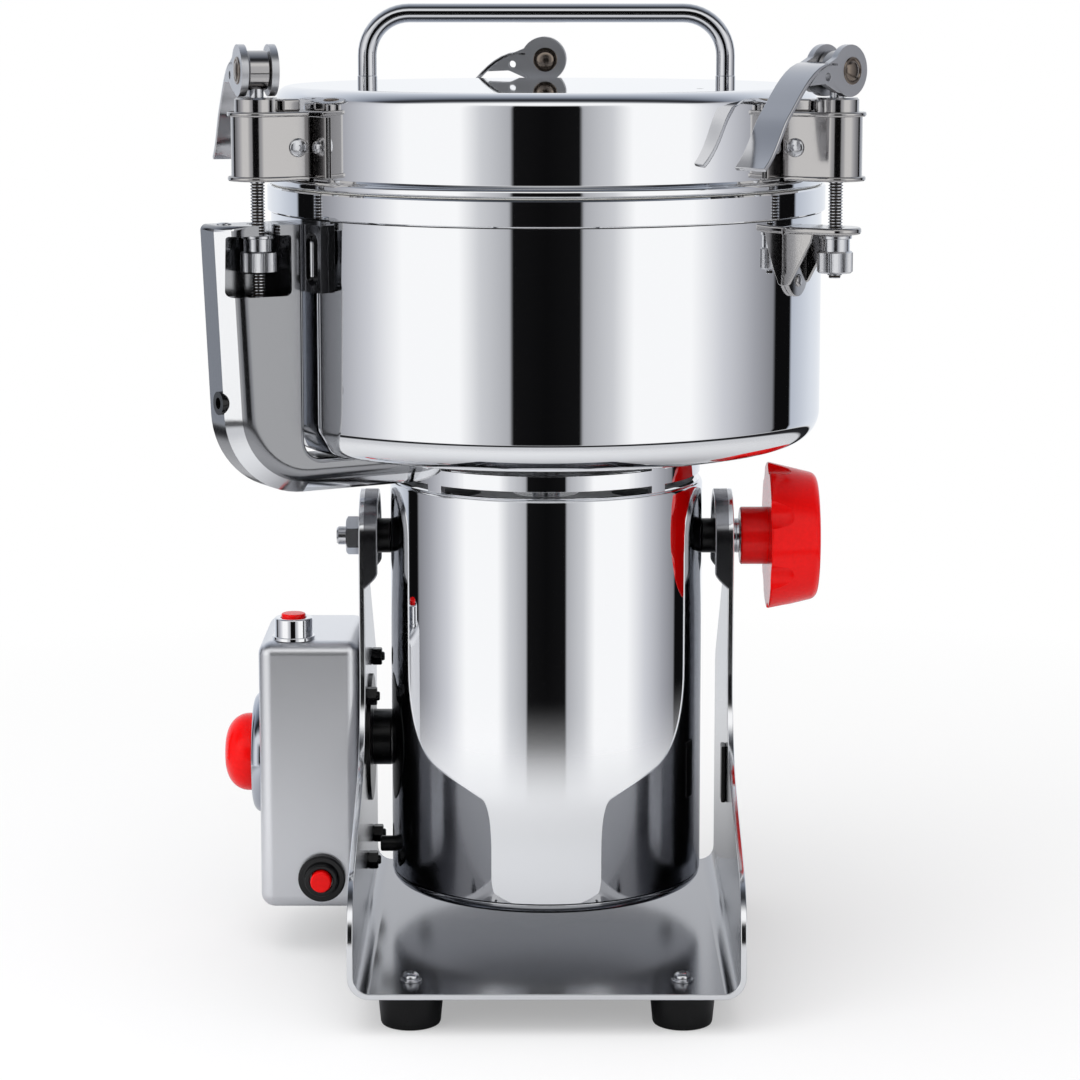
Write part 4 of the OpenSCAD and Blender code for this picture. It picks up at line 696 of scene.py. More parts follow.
# Pivots: the housing hangs between the ears on a bolt with a nut at the left and on the lock knob's stud
# at the right. Rubber bushes keep it clear of the frame.
pivot_z, bush_at, bush_h, bush_in_r, bush_out_r = 183, 67.5, 10.2, 4.1, 7.5
bush_section = [(bush_in_r, 0), (bush_out_r - 0.3, 0), (bush_out_r, 0.3), (bush_out_r, bush_h - 0.3),
                (bush_out_r - 0.3, bush_h), (bush_in_r, bush_h)]
bushes = [turned("bush", bush_section, (side * bush_at, 0, pivot_z), (side, 0, 0), UP, ring=True)
          for side in (-1, 1)]
finish(join("pivot_bush_pair", bushes), "motor_unit", (foot_rubber,), ["pivot_bushes"])
bolt_in, bolt_end, bolt_r, nut_corner_r, nut_t, washer_face = 62, 91, 4, 8.4, 6, 80.8
bolt = turned("pivot_stud", [(0, bolt_in), (bolt_r, bolt_in), (bolt_r, bolt_end - 0.8),
                             (bolt_r - 0.8, bolt_end), (0, bolt_end)], (0, 0, pivot_z), LEFT, UP, steps=32)
bolt_nut = hexagon("pivot_nut", nut_corner_r * math.cos(math.pi / 6), nut_t, (-washer_face, 0, pivot_z), LEFT,
                   UP, bore=bolt_r - 0.05, crown=0.8)
finish(join("pivot_bolt_and_nut", [bolt, bolt_nut]), "motor_unit", (bright_steel,),
       ["pivot_bolt"], edge=0.15)

# Motor: a universal motor, with a laminated stator and copper windings between two die cast brackets. The
# armature, its commutator and a nylon fan turn on the shaft that carries the blades.
# Silicon steel laminations: dull blue-grey
lamination = metal("varnished_laminations", "6d7075", 0.5, grain=0.6, unevenness=0.08, relief=0.02)
# Enamelled copper wire: warm and glossy
copper_wire = metal("enamelled_copper", "b5622f", 0.28, grain=0.5, unevenness=0.08, relief=0.02)
# Die cast aluminium: light grey and grainy
cast_aluminium = metal("die_cast_aluminium", "b3b5b8", 0.42, grain=0.9, unevenness=0.08, relief=0.02)
# Pressed carbon: a soft dark grey
carbon = moulded("pressed_carbon", "191919", "242424", 0.6)
dress(lamination, "stator_core", "armature_core")
dress(copper_wire, "stator_windings", "commutator")
dress(cast_aluminium, "upper_bracket", "lower_bracket")
dress(carbon, "carbon_brushes")
dress(black_plastic, "brush_holders", "cooling_fan")
dress(bright_steel, "motor_shaft", "bearings")

# Bowl: deep drawn stainless, buffed to a mirror, with a band shrunk on round its rim. Its floor is fixed to
# the housing's ring, and the shaft comes up through a rubber seal.
bowl_r, bowl_wall, bowl_z, bowl_corner_r, rim_z = 117.5, 1.5, 227, 13, 336.3
bowl_steps, bowl_in_r, bowl_floor, shaft_hole_r = 192, bowl_r - bowl_wall, bowl_z + bowl_wall, 11
bowl_outside = round_corners([(0, bowl_z, 0), (bowl_r, bowl_z, bowl_corner_r), (bowl_r, rim_z - 0.5, 0)],
                             steps=14)
bowl_inside = round_corners([(bowl_in_r, rim_z - 0.5, 0), (bowl_in_r, bowl_floor, bowl_corner_r - bowl_wall),
                             (0, bowl_floor, 0)], steps=14)
rim_shape = [(bowl_r - 0.25, rim_z - 0.1), (bowl_r - 0.75, rim_z), (bowl_r - 1.25, rim_z - 0.1)]
bowl_piece = turned("drawn_bowl", [*bowl_outside, *rim_shape, *bowl_inside], on_axis, steps=bowl_steps)
trim(bowl_piece, round_bar("shaft_hole", shaft_hole_r, bowl_z - 2, bowl_z + 4, on_axis))
finish(bowl_piece, "motor_unit", (mirror_steel,), ["bowl"])

band_h, band_r = 10.9, 119
band_low = rim_z - band_h
band_section = [(bowl_r, band_low + 0.6), (bowl_r + 0.5, band_low), (band_r - 0.5, band_low),
                (band_r, band_low + 0.5), (band_r, rim_z - 0.7), (band_r - 0.5, rim_z - 0.1),
                (bowl_r, rim_z - 0.1)]
band = coat(turned("rim_band", band_section, on_axis, steps=bowl_steps, ring=True), mirror_steel)
# A dark ring in the seam under the band is painted shade, and shows as a fine dark line
seam_section = [(bowl_r - 0.2, band_low - 0.55), (bowl_r + 0.35, band_low - 0.4),
                (bowl_r + 0.75, band_low + 0.1), (bowl_r - 0.2, band_low + 0.1)]
seam_shade_ring = turned("band_seam", seam_section, on_axis, steps=bowl_steps, ring=True)
coat(seam_shade_ring, moulded("painted_seam_shade", "0c0b0a", "141210", 0.5, shine=0.2))
finish(join("rim_band", [band, seam_shade_ring]), "motor_unit", (mirror_steel,), ["bowl_band"])
dress(foot_rubber, "shaft_seal")
dress(bright_steel, "lower_blade", "upper_blade", "blade_spacer", "blade_nut")

# Lid: drawn from one sheet like the bowl, with a beaded flange that lies on the rim over a silicone gasket,
# and a bent rod welded on top for a handle.
lid_r, lid_foot, lid_top, lid_edge_r, flange_r = 115, 336.5, 377.7, 6.3, 118
bead_h, lid_wall = 4.1, bowl_wall
lid_outside = round_corners([(flange_r, lid_foot, 0.9), (flange_r, lid_foot + bead_h, 1.9),
                             (lid_r + 0.6, lid_foot + bead_h, 0.5), (lid_r, lid_foot + bead_h + 1.1, 0.6),
                             (lid_r, lid_top, lid_edge_r), (0, lid_top, 0)], steps=10)
lid_inside = round_corners([(0, lid_top - lid_wall, 0),
                            (lid_r - lid_wall, lid_top - lid_wall, lid_edge_r - lid_wall),
                            (lid_r - lid_wall, lid_foot + 2.6, 0.6), (flange_r - 1.0, lid_foot + 2.6, 0),
                            (flange_r - 1.0, lid_foot, 0.3)], steps=8)
lid_piece = turned("drawn_lid", lid_outside[1:] + lid_inside + lid_outside[:1], on_axis, steps=bowl_steps)
dimple_x, dimple_y, dimple_r, dimple_deep = 62.8, -53, 1.5, 0.9
trim(lid_piece, round_bar("dimple", dimple_r, 0, 2, (dimple_x, dimple_y, lid_top - dimple_deep), steps=24))
finish(lid_piece, "lid", (mirror_steel,), ["lid_shell"])

handle_r, handle_span, handle_z, handle_bend_r, leg_joint = 4, 152.4, 408, 18, 4.2
half_span, leg_sunk, bend_z = handle_span / 2, 0.6, handle_z - handle_bend_r
bpy.ops.object.select_all(action="DESELECT")
bpy.ops.mesh.primitive_circle_add(vertices=32, radius=handle_r * MM, fill_type="NGON",
                                  location=at(-half_span, 0, lid_top - leg_sunk))
handle = bpy.context.object
handle.name = "bent_handle"
bpy.ops.object.transform_apply(location=True, rotation=False, scale=False)
bpy.ops.object.mode_set(mode="EDIT")
bpy.ops.mesh.select_all(action="SELECT")


def carry(x=0.0, y=0.0, z=0.0):
    """Extrudes what is selected by so many millimetres."""
    bpy.ops.mesh.extrude_region_move(TRANSFORM_OT_translate={"value": Vector((x, y, z)) * MM})


def sweep(degrees, centre, along, steps=12):
    """Spins the selected end round a centre in steps, and leaves the new end selected."""
    bpy.ops.mesh.spin(steps=steps, angle=-math.radians(degrees), center=at(*centre), axis=along)


carry(z=bend_z - lid_top + leg_sunk)
sweep(90, (handle_bend_r - half_span, 0, bend_z), BACK)
carry(x=handle_span - 2 * handle_bend_r)
sweep(90, (half_span - handle_bend_r, 0, bend_z), BACK)
carry(z=-(bend_z - lid_top + leg_sunk))
outward()
weld_section = [(handle_r, 0), (handle_r + 0.2, 0), (handle_r + 0.2, leg_joint - 0.25), (handle_r, leg_joint)]
weld_rings = [turned("weld", weld_section, (side * half_span, 0, lid_top - 0.3), steps=32, ring=True)
              for side in (-1, 1)]
# Drawn bar, buffed but not to a full mirror, with dark lines along its sides
polished_bar = metal("buffed_stainless_bar", "d2d3d6", 0.06, grain=3, unevenness=0.015)
finish(join("bent_handle", [handle, *weld_rings]), "lid", (polished_bar,), ["lid_handle"])

# White silicone: matt and soft
silicone = moulded("moulded_white_silicone", "e6e5df", "eeede8", 0.45)
dress(silicone, "lid_gasket")

# Clamp brackets: three pressed loops, each with a plate above and below that carries the clamp rod. They
# are screwed to folded lugs, and the lugs are riveted to the lid. All is polished stainless.
clamp_turns = {"left": 210, "right": 330, "rear": 90}
rod_u, bracket_low, bracket_top, plate_t, rod_hole_r = 135.7, 341, 369, 2, 3.06
plate_r, loop_out_r, loop_in_r, wing_u = 12, 10.5, 9, 118.2
# Tumbled stainless: polished, with soft unevenness left by pressing and bending
pressed_steel = metal("tumbled_pressed_stainless", "bab8b7", 0.1, grain=2.5, unevenness=0.03, relief=0.003)


def arc(radius, first, last, centre=(0, 0), steps=24):
    """Points on an arc about a centre, between two directions in degrees."""
    return [(centre[0] + radius * math.cos(math.radians(first + (last - first) * step / steps)),
             centre[1] + radius * math.sin(math.radians(first + (last - first) * step / steps)))
            for step in range(steps + 1)]


def loop_outline(radius, reach=wing_u):
    """The plan of a bracket: straight out from the lid, then half round the rod."""
    edge = math.degrees(math.asin(radius / reach))
    return arc(radius, -90, 90, (rod_u, 0)) + arc(reach, edge, -edge, steps=6)


def turn_to(piece, degrees, centre=(0, 0, 0)):
    """Turns a whole piece about the upright line through a centre."""
    bpy.ops.object.select_all(action="DESELECT")
    piece.select_set(True)
    bpy.context.view_layer.objects.active = piece
    bpy.ops.object.mode_set(mode="EDIT")
    bpy.ops.mesh.select_all(action="SELECT")
    bpy.ops.transform.rotate(value=-math.radians(degrees), orient_axis="Z", center_override=at(*centre))
    bpy.ops.object.mode_set(mode="OBJECT")
    return piece


def copy_of(piece):
    """A copy of a piece, with its own mesh."""
    bpy.ops.object.select_all(action="DESELECT")
    piece.select_set(True)
    bpy.context.view_layer.objects.active = piece
    bpy.ops.object.duplicate(linked=False)
    return bpy.context.object


def three_clamps(name, piece):
    """Sets a piece and its two copies at the three clamps, as one object."""
    pieces = [piece, copy_of(piece), copy_of(piece)]
    return join(name, [turn_to(each, turn) for each, turn in zip(pieces, clamp_turns.values())])


loop_parts = []
for low in (bracket_low, bracket_top - plate_t):
    plate = slab("bracket_plate", loop_outline(plate_r), plate_t, (0, 0, low))
    trim(plate, round_bar("rod_hole", rod_hole_r, -1, 4, (rod_u, 0, low), steps=32))
    loop_parts.append(bevel(plate, 0.75, facet=50))
wall = slab("bracket_loop", loop_outline(loop_out_r), bracket_top - bracket_low - 1,
            (0, 0, bracket_low + 0.5))
inside = arc(loop_in_r, -90, 90, (rod_u, 0)) + [(110, loop_in_r), (110, -loop_in_r)]
loop_parts.append(trim(wall, slab("loop_inside", inside, 40, (0, 0, bracket_low - 5))))
collar_section = [(rod_hole_r, 0), (9, 0), (9, 4.9), (8.2, 5.7), (rod_hole_r + 0.8, 5.7), (rod_hole_r, 4.9)]
loop_parts.append(turned("rod_collar", collar_section, (rod_u, 0, bracket_top), ring=True))
loop_parts.append(block("bracket_tab", (wing_u, -5, bracket_top - 0.2), (wing_u + 8, 5, 374), 1, 3))

lug_r, lug_t, cheek_v, lug_low, lug_high = 115.05, 1.5, 8.95, 342, 367
lug_end_u, cheek_low, cheek_high, flange_w = 128, 343.1, 366.9, 11
for side in (-1, 1):
    cheek = slab("lug_cheek", [(lug_r + 0.5, cheek_low), (lug_end_u, cheek_low), (lug_end_u, cheek_high),
                               (lug_r + 0.5, cheek_high)], lug_t, (0, side * cheek_v, 0), (0, -side, 0),
                 front_view)
    loop_parts.append(bevel(cheek, 0.3))
    first = math.degrees(math.asin((cheek_v - lug_t) / lug_r)) * side
    last = math.degrees(math.asin((cheek_v + flange_w) / lug_r)) * side
    flange = slab("lug_flange", arc(lug_r + lug_t, first, last, steps=8) + arc(lug_r, last, first, steps=8),
                  lug_high - lug_low, (0, 0, lug_low))
    loop_parts.append(bevel(flange, 0.35))
finish(three_clamps("clamp_bracket_set", join("clamp_bracket", loop_parts)), "lid",
       (pressed_steel,), ["clamp_brackets"])

# Bracket screws: domed socket heads on both sides of each loop. Rivets: domed heads on the lug flanges.
cross_u, cross_z, cross_r, cross_h, cross_socket_r = 122.3, 354.5, 3.85, 1.6, 1.25
rivet_r, rivet_h, rivet_turn = 2.6, 1.3, 7.1


def dome(name, radius, height, place, along, out, socket=0.0):
    """A domed head, with a hexagon socket where it is a screw's."""
    curve = [(radius * math.cos(a), height * (0.35 + 0.65 * math.sin(a))) for a in (0.35, 0.7, 1.05, 1.3)]
    section = [(0, -0.6), (radius, -0.6), (radius, height * 0.35), *curve, (0, height)]
    head = turned(name, section, place, along, out, steps=32)
    if socket:
        floor_at = Vector(place) + Vector(along) * 0.3
        trim(head, hexagon("socket", socket, height, floor_at, along, out, crown=0))
    return head


screw_parts = []
for side in (-1, 1):
    screw_parts.append(dome("cross_screw", cross_r, cross_h, (cross_u, side * loop_out_r, cross_z),
                            (0, side, 0), RIGHT, socket=cross_socket_r))
    spot = math.radians(rivet_turn * side)
    out = (math.cos(spot), math.sin(spot), 0)
    screw_parts.append(dome("rivet", rivet_r, rivet_h, ((lug_r + lug_t) * out[0], (lug_r + lug_t) * out[1],
                                                        cross_z), out, UP))
finish(three_clamps("bracket_screw_set", join("bracket_screw", screw_parts)), "lid",
       (bright_steel,), ["bracket_screws"])

# Clamps: each has a 6 mm rod, a cam lever bent from strap that pulls the rod up, and a knurled nut below the
# seat that sets its length. The rod is turned, the lever pressed and welded, and both are polished.
rod_r, knuckle_r, knuckle_w, pin_z, thread_pitch, thread_top = 3, 8, 8.5, 385.5, 1.25, 341
lever_turns = {"left": 107, "right": 226, "rear": 178}
rod_tips = {"left": 290, "right": 301.4, "rear": 301.4}
pin_r, pin_head_r, pin_head_h, cheek_t, lever_w, strap_t, cam_r = 3, 5.6, 1.2, 3, 15.5, 1.8, 10.5
# Dark bronze: the cam's pin, oiled and a little brown
pin_bronze = metal("oiled_bronze_pin", "857a70", 0.2, grain=0.8, unevenness=0.05)
# The levers' cheeks: blanked sheet, satin on its faces
cheek_steel = metal("satin_blanked_stainless", "cfd0d3", 0.34, grain=1.8, unevenness=0.02)
# The levers' straps: polished before they were bent
strap_steel = metal("polished_strap_stainless", "d0d0d2", 0.12, grain=2.5, unevenness=0.02)
# Painted shade in the grooves of the thread: dark and brown
thread_groove_shade = moulded("painted_thread_groove_shade", "1a130d", "2a2018", 0.35, shine=0.3)


def bezier(points, share):
    """The point at a share of a curve with four control points."""
    a, b, c, d = [Vector(point) for point in points]
    rest = 1 - share
    return a * rest ** 3 + b * 3 * rest ** 2 * share + c * 3 * rest * share ** 2 + d * share ** 3


def to_clamp(piece, name):
    """Carries a piece drawn round the motor's axis out to the rod of its clamp."""
    angle = math.radians(clamp_turns[name])
    bpy.ops.object.mode_set(mode="EDIT")
    bpy.ops.mesh.select_all(action="SELECT")
    bpy.ops.transform.translate(value=Vector((math.cos(angle), math.sin(angle), 0)) * rod_u * MM)
    bpy.ops.object.mode_set(mode="OBJECT")
    return piece


# The lever: two cheeks with the cam's round end and a web that narrows to a point, and between them a
# strap that falls in one curve and then flares out to the thumb.
fall = ((9, 2.6), (23.2, 4.6), (31.1, -8.9), (39.5, -18))
flare = ((39.5, -18), (43.5, -23), (46.4, -31.9), (54, -38))
line = [bezier(fall, step / 10) for step in range(11)] + [bezier(flare, step / 8) for step in range(1, 9)]
normals = []
for here in range(len(line)):
    along = line[min(here + 1, len(line) - 1)] - line[max(here - 1, 0)]
    normals.append(Vector((-along.y, along.x)).normalized() * strap_t / 2)
strip = [p + n for p, n in zip(line, normals)] + [p - n for p, n in zip(reversed(line), reversed(normals))]
strap = slab("lever_strap", strip, lever_w, (0, -lever_w / 2, pin_z), BACK, front_view)
lever_parts = [coat(bevel(strap, 0.45, facet=60), strap_steel)]
# The web's corners, in radii of the cam from its pin
web = [(0, 0.91), (1.14, 0.42), (1.9, 0.1), (2.57, -0.52), (1.62, -0.48), (0.86, -0.82), (0, -0.91)]
web_outline = round_corners([(a * cam_r, b * cam_r, 0 if a in (0, 2.57) else 3) for a, b in web], steps=4)
cam_off, web_hole_r, web_hole_u, web_hole_down = 0.9, 1.7, 1.47, 0.21
for low in (-lever_w / 2, lever_w / 2 - cheek_t):
    disc = round_bar("cam", cam_r, 0, cheek_t, (cam_off, low, pin_z), BACK, steps=64)
    trim(disc, slab("web", web_outline, cheek_t, (0, low, pin_z), BACK, front_view), "UNION")
    hole_at = (web_hole_u * cam_r, low, pin_z - web_hole_down * cam_r)
    trim(disc, round_bar("web_hole", web_hole_r, -1, 5, hole_at, BACK, steps=24))
    lever_parts.append(coat(bevel(disc, 0.5, facet=50), cheek_steel))
lever = join("cam_lever", lever_parts)
# The pin's heads are domed inside a raised rim, with a groove between them
pin_dome_r = pin_head_r - 1.5
pin_dome = [(pin_dome_r * math.cos(a), pin_head_h * math.sin(a)) for a in (0.1, 0.4, 0.7, 1.0, 1.3)]
head_section = [(0, -1), (pin_head_r, -1), (pin_head_r, 0.2), (pin_head_r - 0.3, 0.45),
                (pin_head_r - 1, 0.45), (pin_head_r - 1.3, 0.1), *pin_dome, (0, pin_head_h)]
pins = [turned("pin_head", head_section, (0, side * lever_w / 2, pin_z), (0, side, 0), steps=40)
        for side in (-1, 1)]
pins.append(round_bar("pin", pin_r, 0, lever_w - 4, (0, -lever_w / 2 + 2, pin_z), BACK, steps=32))
pin = join("cam_pin", pins)
eye_r = pin_r + 0.06
knuckle = turned("rod_knuckle", [(eye_r, 0), (knuckle_r - 0.5, 0), (knuckle_r, 0.5),
                                 (knuckle_r, knuckle_w - 0.5), (knuckle_r - 0.5, knuckle_w),
                                 (eye_r, knuckle_w)], (0, -knuckle_w / 2, pin_z), BACK, steps=64, ring=True)


def rod_section(tip):
    """The rod's section from its chamfered tip up: a thread, then a plain shank."""
    root_r, shank_h = rod_r - 0.6, pin_z - 6 - tip
    section = [(0, 0), (rod_r - 0.7, 0), (root_r, 0.4)]
    for ridge in range(int((thread_top - tip) / thread_pitch)):
        low = 0.6 + ridge * thread_pitch
        section += [(root_r, low), (root_r, low + 0.42), (rod_r, low + 0.7), (rod_r, low + 0.95)]
    return section + [(rod_r, shank_h), (0, shank_h)]


# The nut: a flange under the seat, a polished neck, and a grip with a straight knurl
nut_low, nut_r, grip_h, knurl_teeth, knurl_deep = 303.5, 7.3, 9, 72, 0.16
knurl = []
for tooth in range(2 * knurl_teeth):
    radius, angle = nut_r - (knurl_deep if tooth % 2 else 0), math.pi * tooth / knurl_teeth
    knurl.append((radius * math.cos(angle), radius * math.sin(angle)))
grip_part = slab("knurled_grip", knurl, grip_h, (0, 0, nut_low))
cone = turned("grip_chamfer", [(0, 0), (nut_r - 0.7, 0), (nut_r + 0.1, 0.8), (nut_r + 0.1, grip_h - 0.8),
                               (nut_r - 0.7, grip_h), (0, grip_h)], (0, 0, nut_low), steps=64)
trim(grip_part, cone, "INTERSECT")
neck_part = turned("nut_neck", [(rod_hole_r, 8.8), (6, 8.8), (6, 14), (6.6, 14), (6.85, 14.2), (6.85, 15.2),
                                (6.6, 15.5), (rod_hole_r, 15.5)], (0, 0, nut_low), ring=True)
trim(grip_part, round_bar("nut_bore", rod_hole_r, -1, 9.5, (0, 0, nut_low), steps=32))
nut = join("knurled_nut", [grip_part, neck_part])

for name, turn in clamp_turns.items():
    lever_copy, pin_copy, eye = [to_clamp(turn_to(copy_of(piece), lever_turns[name]), name)
                                 for piece in (lever, pin, knuckle)]
    finish(lever_copy, f"lever_{name}", (strap_steel,), [f"clamp_lever_{name}"])
    finish(pin_copy, f"lever_{name}", (pin_bronze,), [])
    rod_x, rod_y = rod_u * math.cos(math.radians(turn)), rod_u * math.sin(math.radians(turn))
    shank = turned("rod_shank", rod_section(rod_tips[name]), (rod_x, rod_y, rod_tips[name]), steps=32)
    coat(shank, bright_steel, thread_groove_shade)
    # Only the grooves' floors lie this deep and face sideways; they take the painted shade
    paint(shank, lambda place, normal: (math.hypot(place.x - rod_x, place.y - rod_y) < rod_r - 0.4
                                        and abs(normal.z) < 0.1))
    rod = join(f"threaded_rod_{name}", [shank, coat(eye, pressed_steel)])
    finish(rod, "lid", (bright_steel,), [f"clamp_rod_{name}"])
    nut_copy = to_clamp(copy_of(nut), name)
    finish(nut_copy, f"nut_{name}", (bright_steel,), [f"clamp_nut_{name}"])
for pattern in (lever, pin, knuckle, nut):
    bpy.data.objects.remove(pattern)

# Clamp seats: at the right and the rear a pressed shelf with two gussets, riveted to the bowl, takes the
# pull of the nut. They are polished like the bowl, with rolled edges.
seat_top, seat_t, seat_reach, seat_half, shelf_edge_r = 322.2, 2.9, 10.6, 10, 1.1
back_r, back_low, gusset_low, gusset_reach, gusset_t = 119.5, 293, 298, 13, 2
seat_low, seat_in_r, clearance_r = seat_top - seat_t, bowl_r + 0.05, 3.3
inner_turn = math.degrees(math.asin(seat_half / bowl_r))
outer_turn = math.degrees(math.asin(seat_half / seat_reach))
shelf_outline = (arc(seat_reach, -outer_turn, outer_turn, (rod_u, 0))
                 + arc(seat_in_r, inner_turn, -inner_turn, steps=6))
shelf = slab("seat_shelf", shelf_outline, seat_t, (0, 0, seat_low))
trim(shelf, round_bar("rod_clearance", clearance_r, -1, 5, (rod_u, 0, seat_low), steps=32))
seat_parts = [bevel(shelf, shelf_edge_r, facet=50, segments=4)]
back = slab("seat_back", arc(back_r, -inner_turn, inner_turn, steps=8)
            + arc(seat_in_r, inner_turn, -inner_turn, steps=8), seat_low - back_low, (0, 0, back_low))
back_end = [(-seat_half, seat_low + 1), *arc(seat_half, 180, 360, (0, back_low + seat_half), steps=20),
            (seat_half, seat_low + 1)]
trim(back, slab("back_end", back_end, 20, (bowl_r - 8, 0, 0), RIGHT, side_view), "INTERSECT")
seat_parts.append(bevel(back, 0.4, facet=50))
gusset_in, gusset_out, gusset_top = bowl_r - 0.2, bowl_r + gusset_reach, seat_low + 0.6
gusset_outline = round_corners([(gusset_in, gusset_top, 0), (gusset_out, gusset_top, 0),
                                (gusset_out - 1, seat_low - 3, 2.5), (bowl_r + 2, gusset_low, 2),
                                (gusset_in, gusset_low, 0)], steps=4)
for side in (-1, 1):
    gusset = slab("gusset", gusset_outline, gusset_t, (0, side * seat_half, 0), (0, -side, 0), front_view)
    seat_parts.append(bevel(gusset, 0.6, facet=50))
seat_parts.append(dome("seat_rivet", rivet_r, rivet_h, (back_r - 0.3, 0, back_low + 2 * seat_half / 3), RIGHT,
                       UP))
seat = join("clamp_seat", seat_parts)
seats = [turn_to(piece, clamp_turns[name]) for piece, name in ((seat, "right"), (copy_of(seat), "rear"))]
finish(join("clamp_seat_pair", seats), "motor_unit", (pressed_steel,), ["clamp_seats"])

# Switch arm: a box folded from stainless sheet, which carries the left clamp and hides the safety switch and
# its cable. It is polished softly after folding, and every edge of its openings is buffed and painted bright
# as a highlight.
arm_w, arm_wall, arm_low, arm_high, arm_in_u, arm_out_u = 22, 1.5, 212, 323.5, 120.5, 156.5
arm_foot_u, arm_end_u, foot_top, elbow_r, elbow_in_r, arm_corner_r = 151.3, 64.1, 226.5, 35, 8, 2.5
chamfer_w, chamfer_turn, round_w, inner_r = 5, math.radians(50), 6, 2


def arm_outline(outer, inner, end, top):
    """The arm's side view from its end under the bowl to its top, with its edges moved in."""
    return round_corners(
        [(end, arm_low + outer, 0), (arm_foot_u - outer, arm_low + outer, elbow_r - outer),
         (arm_out_u - outer, top, arm_corner_r), (arm_in_u + inner, top, 0),
         (arm_in_u + inner, foot_top - inner, elbow_in_r + inner), (end, foot_top - inner, 0)], steps=16)


# The front is folded back twice: a flat along the outer edge, and a round between that and the face
face_y, flat_deep, fold_steps = arm_w / 2, chamfer_w * math.tan(chamfer_turn), 8
round_r = round_w / math.sin(chamfer_turn)
crown_deep = flat_deep + round_r * (1 - math.cos(chamfer_turn))
was = arm_outline(0, 0, arm_end_u, arm_high)
arm = slab("folded_arm", was, arm_w - crown_deep, (0, -face_y, 0), BACK, front_view)
pick(arm, lambda place, normal: normal.y > 0.9)
for step in range(fold_steps):
    tilt = chamfer_turn * (1 - step / (fold_steps - 1))
    y = face_y - round_r * (1 - math.cos(tilt))
    rounding = inner_r - math.sqrt(inner_r ** 2 - max(0, y - face_y + inner_r) ** 2)
    becomes = arm_outline(chamfer_w + round_w - round_r * math.sin(tilt), rounding, arm_end_u, arm_high)
    bpy.ops.mesh.extrude_region_move(TRANSFORM_OT_translate={"value": (0, 0, 0)})
    mesh = bmesh.from_edit_mesh(arm.data)
    for vert in [vert for vert in mesh.verts if vert.select]:
        place = ((vert.co - AXIS) / MM).xz
        corner = min(range(len(was)), key=lambda here: (was[here] - place).length)
        vert.co = at(becomes[corner].x, y, becomes[corner].y)
    bmesh.update_edit_mesh(arm.data)
    was = becomes
bpy.ops.object.mode_set(mode="OBJECT")
# Its inside, shallower behind the folded edge, and cut round where it meets the vent ring
fold_y, end_wall, top_wall = face_y - crown_deep - arm_wall, 3, 4.2
for outer, low, high in ((arm_wall, arm_wall - face_y, fold_y + 0.1),
                         (chamfer_w + round_w, fold_y, face_y - arm_wall)):
    trim(arm, slab("arm_inside", arm_outline(outer, arm_wall, arm_end_u - end_wall, arm_high - top_wall),
                   high - low, (0, low, 0), BACK, front_view))
ring_r, ring_low, ring_high = 66.55, 200, 240
trim(arm, round_bar("ring_face", ring_r, ring_low, ring_high, on_axis, steps=96))
window_in_u, window_out_u, window_low, window_high, notch_r, notch_u = 126, 153, 294.5, 319.3, 4.75, 12
window_outline = round_corners([(window_in_u, window_low, 2.5), (window_out_u, window_low, 2.5),
                                (window_out_u, window_high, 1.2), (window_in_u, window_high, 1.2)])
window = slab("nut_window", window_outline, 17, on_axis, BACK, front_view)
notch = slab("rod_notch", [(rod_u - notch_r, 0), (rod_u - notch_r, notch_u), (rod_u + notch_r, notch_u),
                           (rod_u + notch_r, 0), *arc(notch_r, 0, -180, (rod_u, 0), steps=16)[1:-1]], 30,
             (0, 0, 300))
grommet_at, grommet_r = (145, 0, 251), 4.2
pass_through = round_bar("grommet_hole", grommet_r, 0, 20, grommet_at, RIGHT, UP, steps=32)
# Folded sheet, polished after folding: it mirrors the room softly
folded_steel = metal("polished_folded_stainless", "9a9b9e", 0.16, grain=2, unevenness=0.015)
coat(arm, folded_steel, edge_highlight)
# The edges of the openings take the painted edge highlight
for tool in (window, notch, pass_through):
    coat(tool, folded_steel, edge_highlight)
    for face in tool.data.polygons:
        face.material_index = 1
    trim(arm, tool)
# The fold along the outer edge was polished, and takes the painted edge highlight, brighter than the faces
paint(arm, lambda place, normal: 0.6 < normal.y < 0.68 and place.y > 0)

# Its back plate is curved to the bowl and riveted on, with a slot that shows its locating pin
plate_out_r, plate_in_r, plate_low, plate_h, bowl_side_r = 121.25, 117.6, 296, 27.5, 119
back_first, back_last = [math.degrees(math.asin(side / bowl_side_r)) for side in (-11, 23)]
arm_back = slab("arm_back_plate", arc(plate_out_r, back_first, back_last, steps=12)
                + arc(plate_in_r, back_last, back_first, steps=12), plate_h, (0, 0, plate_low))
slot_y, slot_low, slot_high, slot_half = 17.2, 303, 316.4, 4.2
pin_slot = [*arc(slot_half, 0, 180, (slot_y, slot_high), steps=10),
            *arc(slot_half, 180, 360, (slot_y, slot_low), steps=10)]
trim(arm_back, slab("pin_slot", pin_slot, 14, (113, 0, 0), RIGHT, side_view))
bevel(arm_back, 0.5, facet=50)
slot_pin = turned("slot_pin", [(0, 0), (1.1, 0), (1.1, 14), (0.7, 14.5), (0, 14.5)], (119.6, slot_y, 302.5),
                  steps=20)
top_button = dome("arm_screw", 3, 0.8, (149, -4, arm_high), UP, RIGHT)
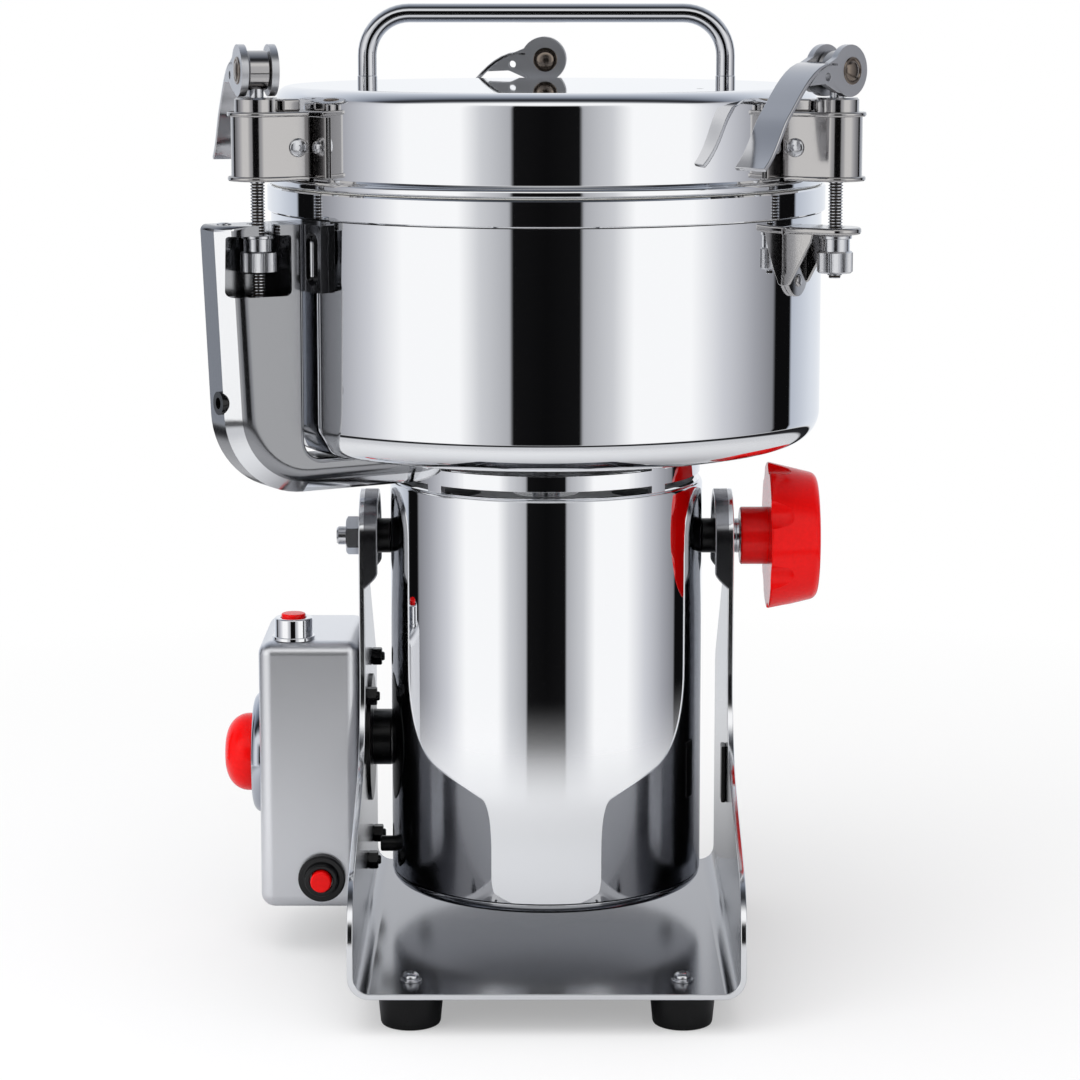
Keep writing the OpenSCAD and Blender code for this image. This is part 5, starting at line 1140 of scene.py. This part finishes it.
# A thin black arc inside the back plate, seen only through the slot, is painted shade
shade_fill_out_r, shade_fill_in_r, shade_fill_low, shade_fill_h = 118.4, 117.65, 296.7, 26
slot_shade_fill = slab("slot_shade_fill", arc(shade_fill_out_r, 3, 10.7, steps=8) + arc(shade_fill_in_r, 10.7, 3, steps=8),
                   shade_fill_h, (0, 0, shade_fill_low))
arm_fittings = join("arm_fittings", [coat(arm_back, satin_steel), coat(slot_pin, bright_steel),
                                     coat(top_button, bright_steel), coat(slot_shade_fill, black_plastic)])
turn_to(arm, clamp_turns["left"])
turn_to(arm_fittings, clamp_turns["left"])
finish(arm, "motor_unit", (folded_steel, edge_highlight), ["switch_arm"], edge=0.35, facet=40)
finish(arm_fittings, "motor_unit", (satin_steel,), [])
dress(foot_rubber, "switch_cable")
dress(black_plastic, "safety_switch", "arm_grommet")
dress(red_plastic, "safety_plunger")

# Lock knob: a red moulded grip with seven scooped flutes on a steel stud. It clamps the right ear, and so
# holds the tilt.
hub_r, hub_back, hub_h, knob_r, knob_front_r, knob_deep, knob_edge_r = 12.5, 84.1, 11.8, 32.2, 27, 21.5, 4
lobes, flute_r, flute_at, flute_short, flute_edge_r = 7, 10, 39.2, 9, 5
knob_front, to_right = hub_h + knob_deep, {"along": RIGHT, "out": UP}
knob_section = round_corners([(0, hub_h, 0), (knob_r, hub_h, 0.8), (knob_front_r, knob_front, knob_edge_r),
                              (0, knob_front, 0)], steps=8)
grip_body = turned("knob_grip", knob_section, (hub_back, 0, pivot_z), steps=140, **to_right)
flute_end, flute_mid_r = knob_front - flute_short, flute_r - flute_edge_r
flute_section = [(0, hub_h - 2), (flute_r, hub_h - 2), (flute_r, flute_end - flute_edge_r),
                 *[(flute_mid_r + flute_edge_r * math.cos(a),
                    flute_end - flute_edge_r + flute_edge_r * math.sin(a)) for a in (0.3, 0.6, 0.9, 1.2)],
                 (flute_mid_r, flute_end), (0, flute_end)]
for lobe in range(lobes):
    angle = math.tau * (lobe + 0.5) / lobes
    flute_place = (hub_back, -flute_at * math.cos(angle), pivot_z + flute_at * math.sin(angle))
    trim(grip_body, turned("flute", flute_section, flute_place, steps=56, **to_right))
bevel(grip_body, 0.9, facet=28, segments=3)
hub = turned("knob_hub", [(0, 0), (hub_r - 0.6, 0), (hub_r, 0.6), (hub_r, hub_h + 0.6), (0, hub_h + 0.6)],
             (hub_back, 0, pivot_z), steps=64, **to_right)
finish(join("fluted_knob", [grip_body, hub]), "lock_knob", (red_plastic,), ["lock_knob"],
       facet=40)
dress(bright_steel, "lock_stud")
# Two washers lie against each other, and a groove shows where they meet
ring_in_r, ring_out_r, ring_edge_r, ring_t, seam_at = 4.06, 7.5, 7.2, 3, 1.45
lock_ring = turned("lock_washer", [(ring_in_r, 0), (ring_edge_r, 0), (ring_out_r, 0.3), (ring_out_r, 1.2),
                                   (ring_edge_r, seam_at), (ring_out_r, 1.7), (ring_out_r, 2.7),
                                   (ring_edge_r, ring_t), (ring_in_r, ring_t)], (washer_face, 0, pivot_z),
                   ring=True, **to_right)
finish(lock_ring, "motor_unit", (bright_steel,), ["lock_washers"])

# The mill is whole: its middle mark goes.
bpy.data.objects.remove(middle)
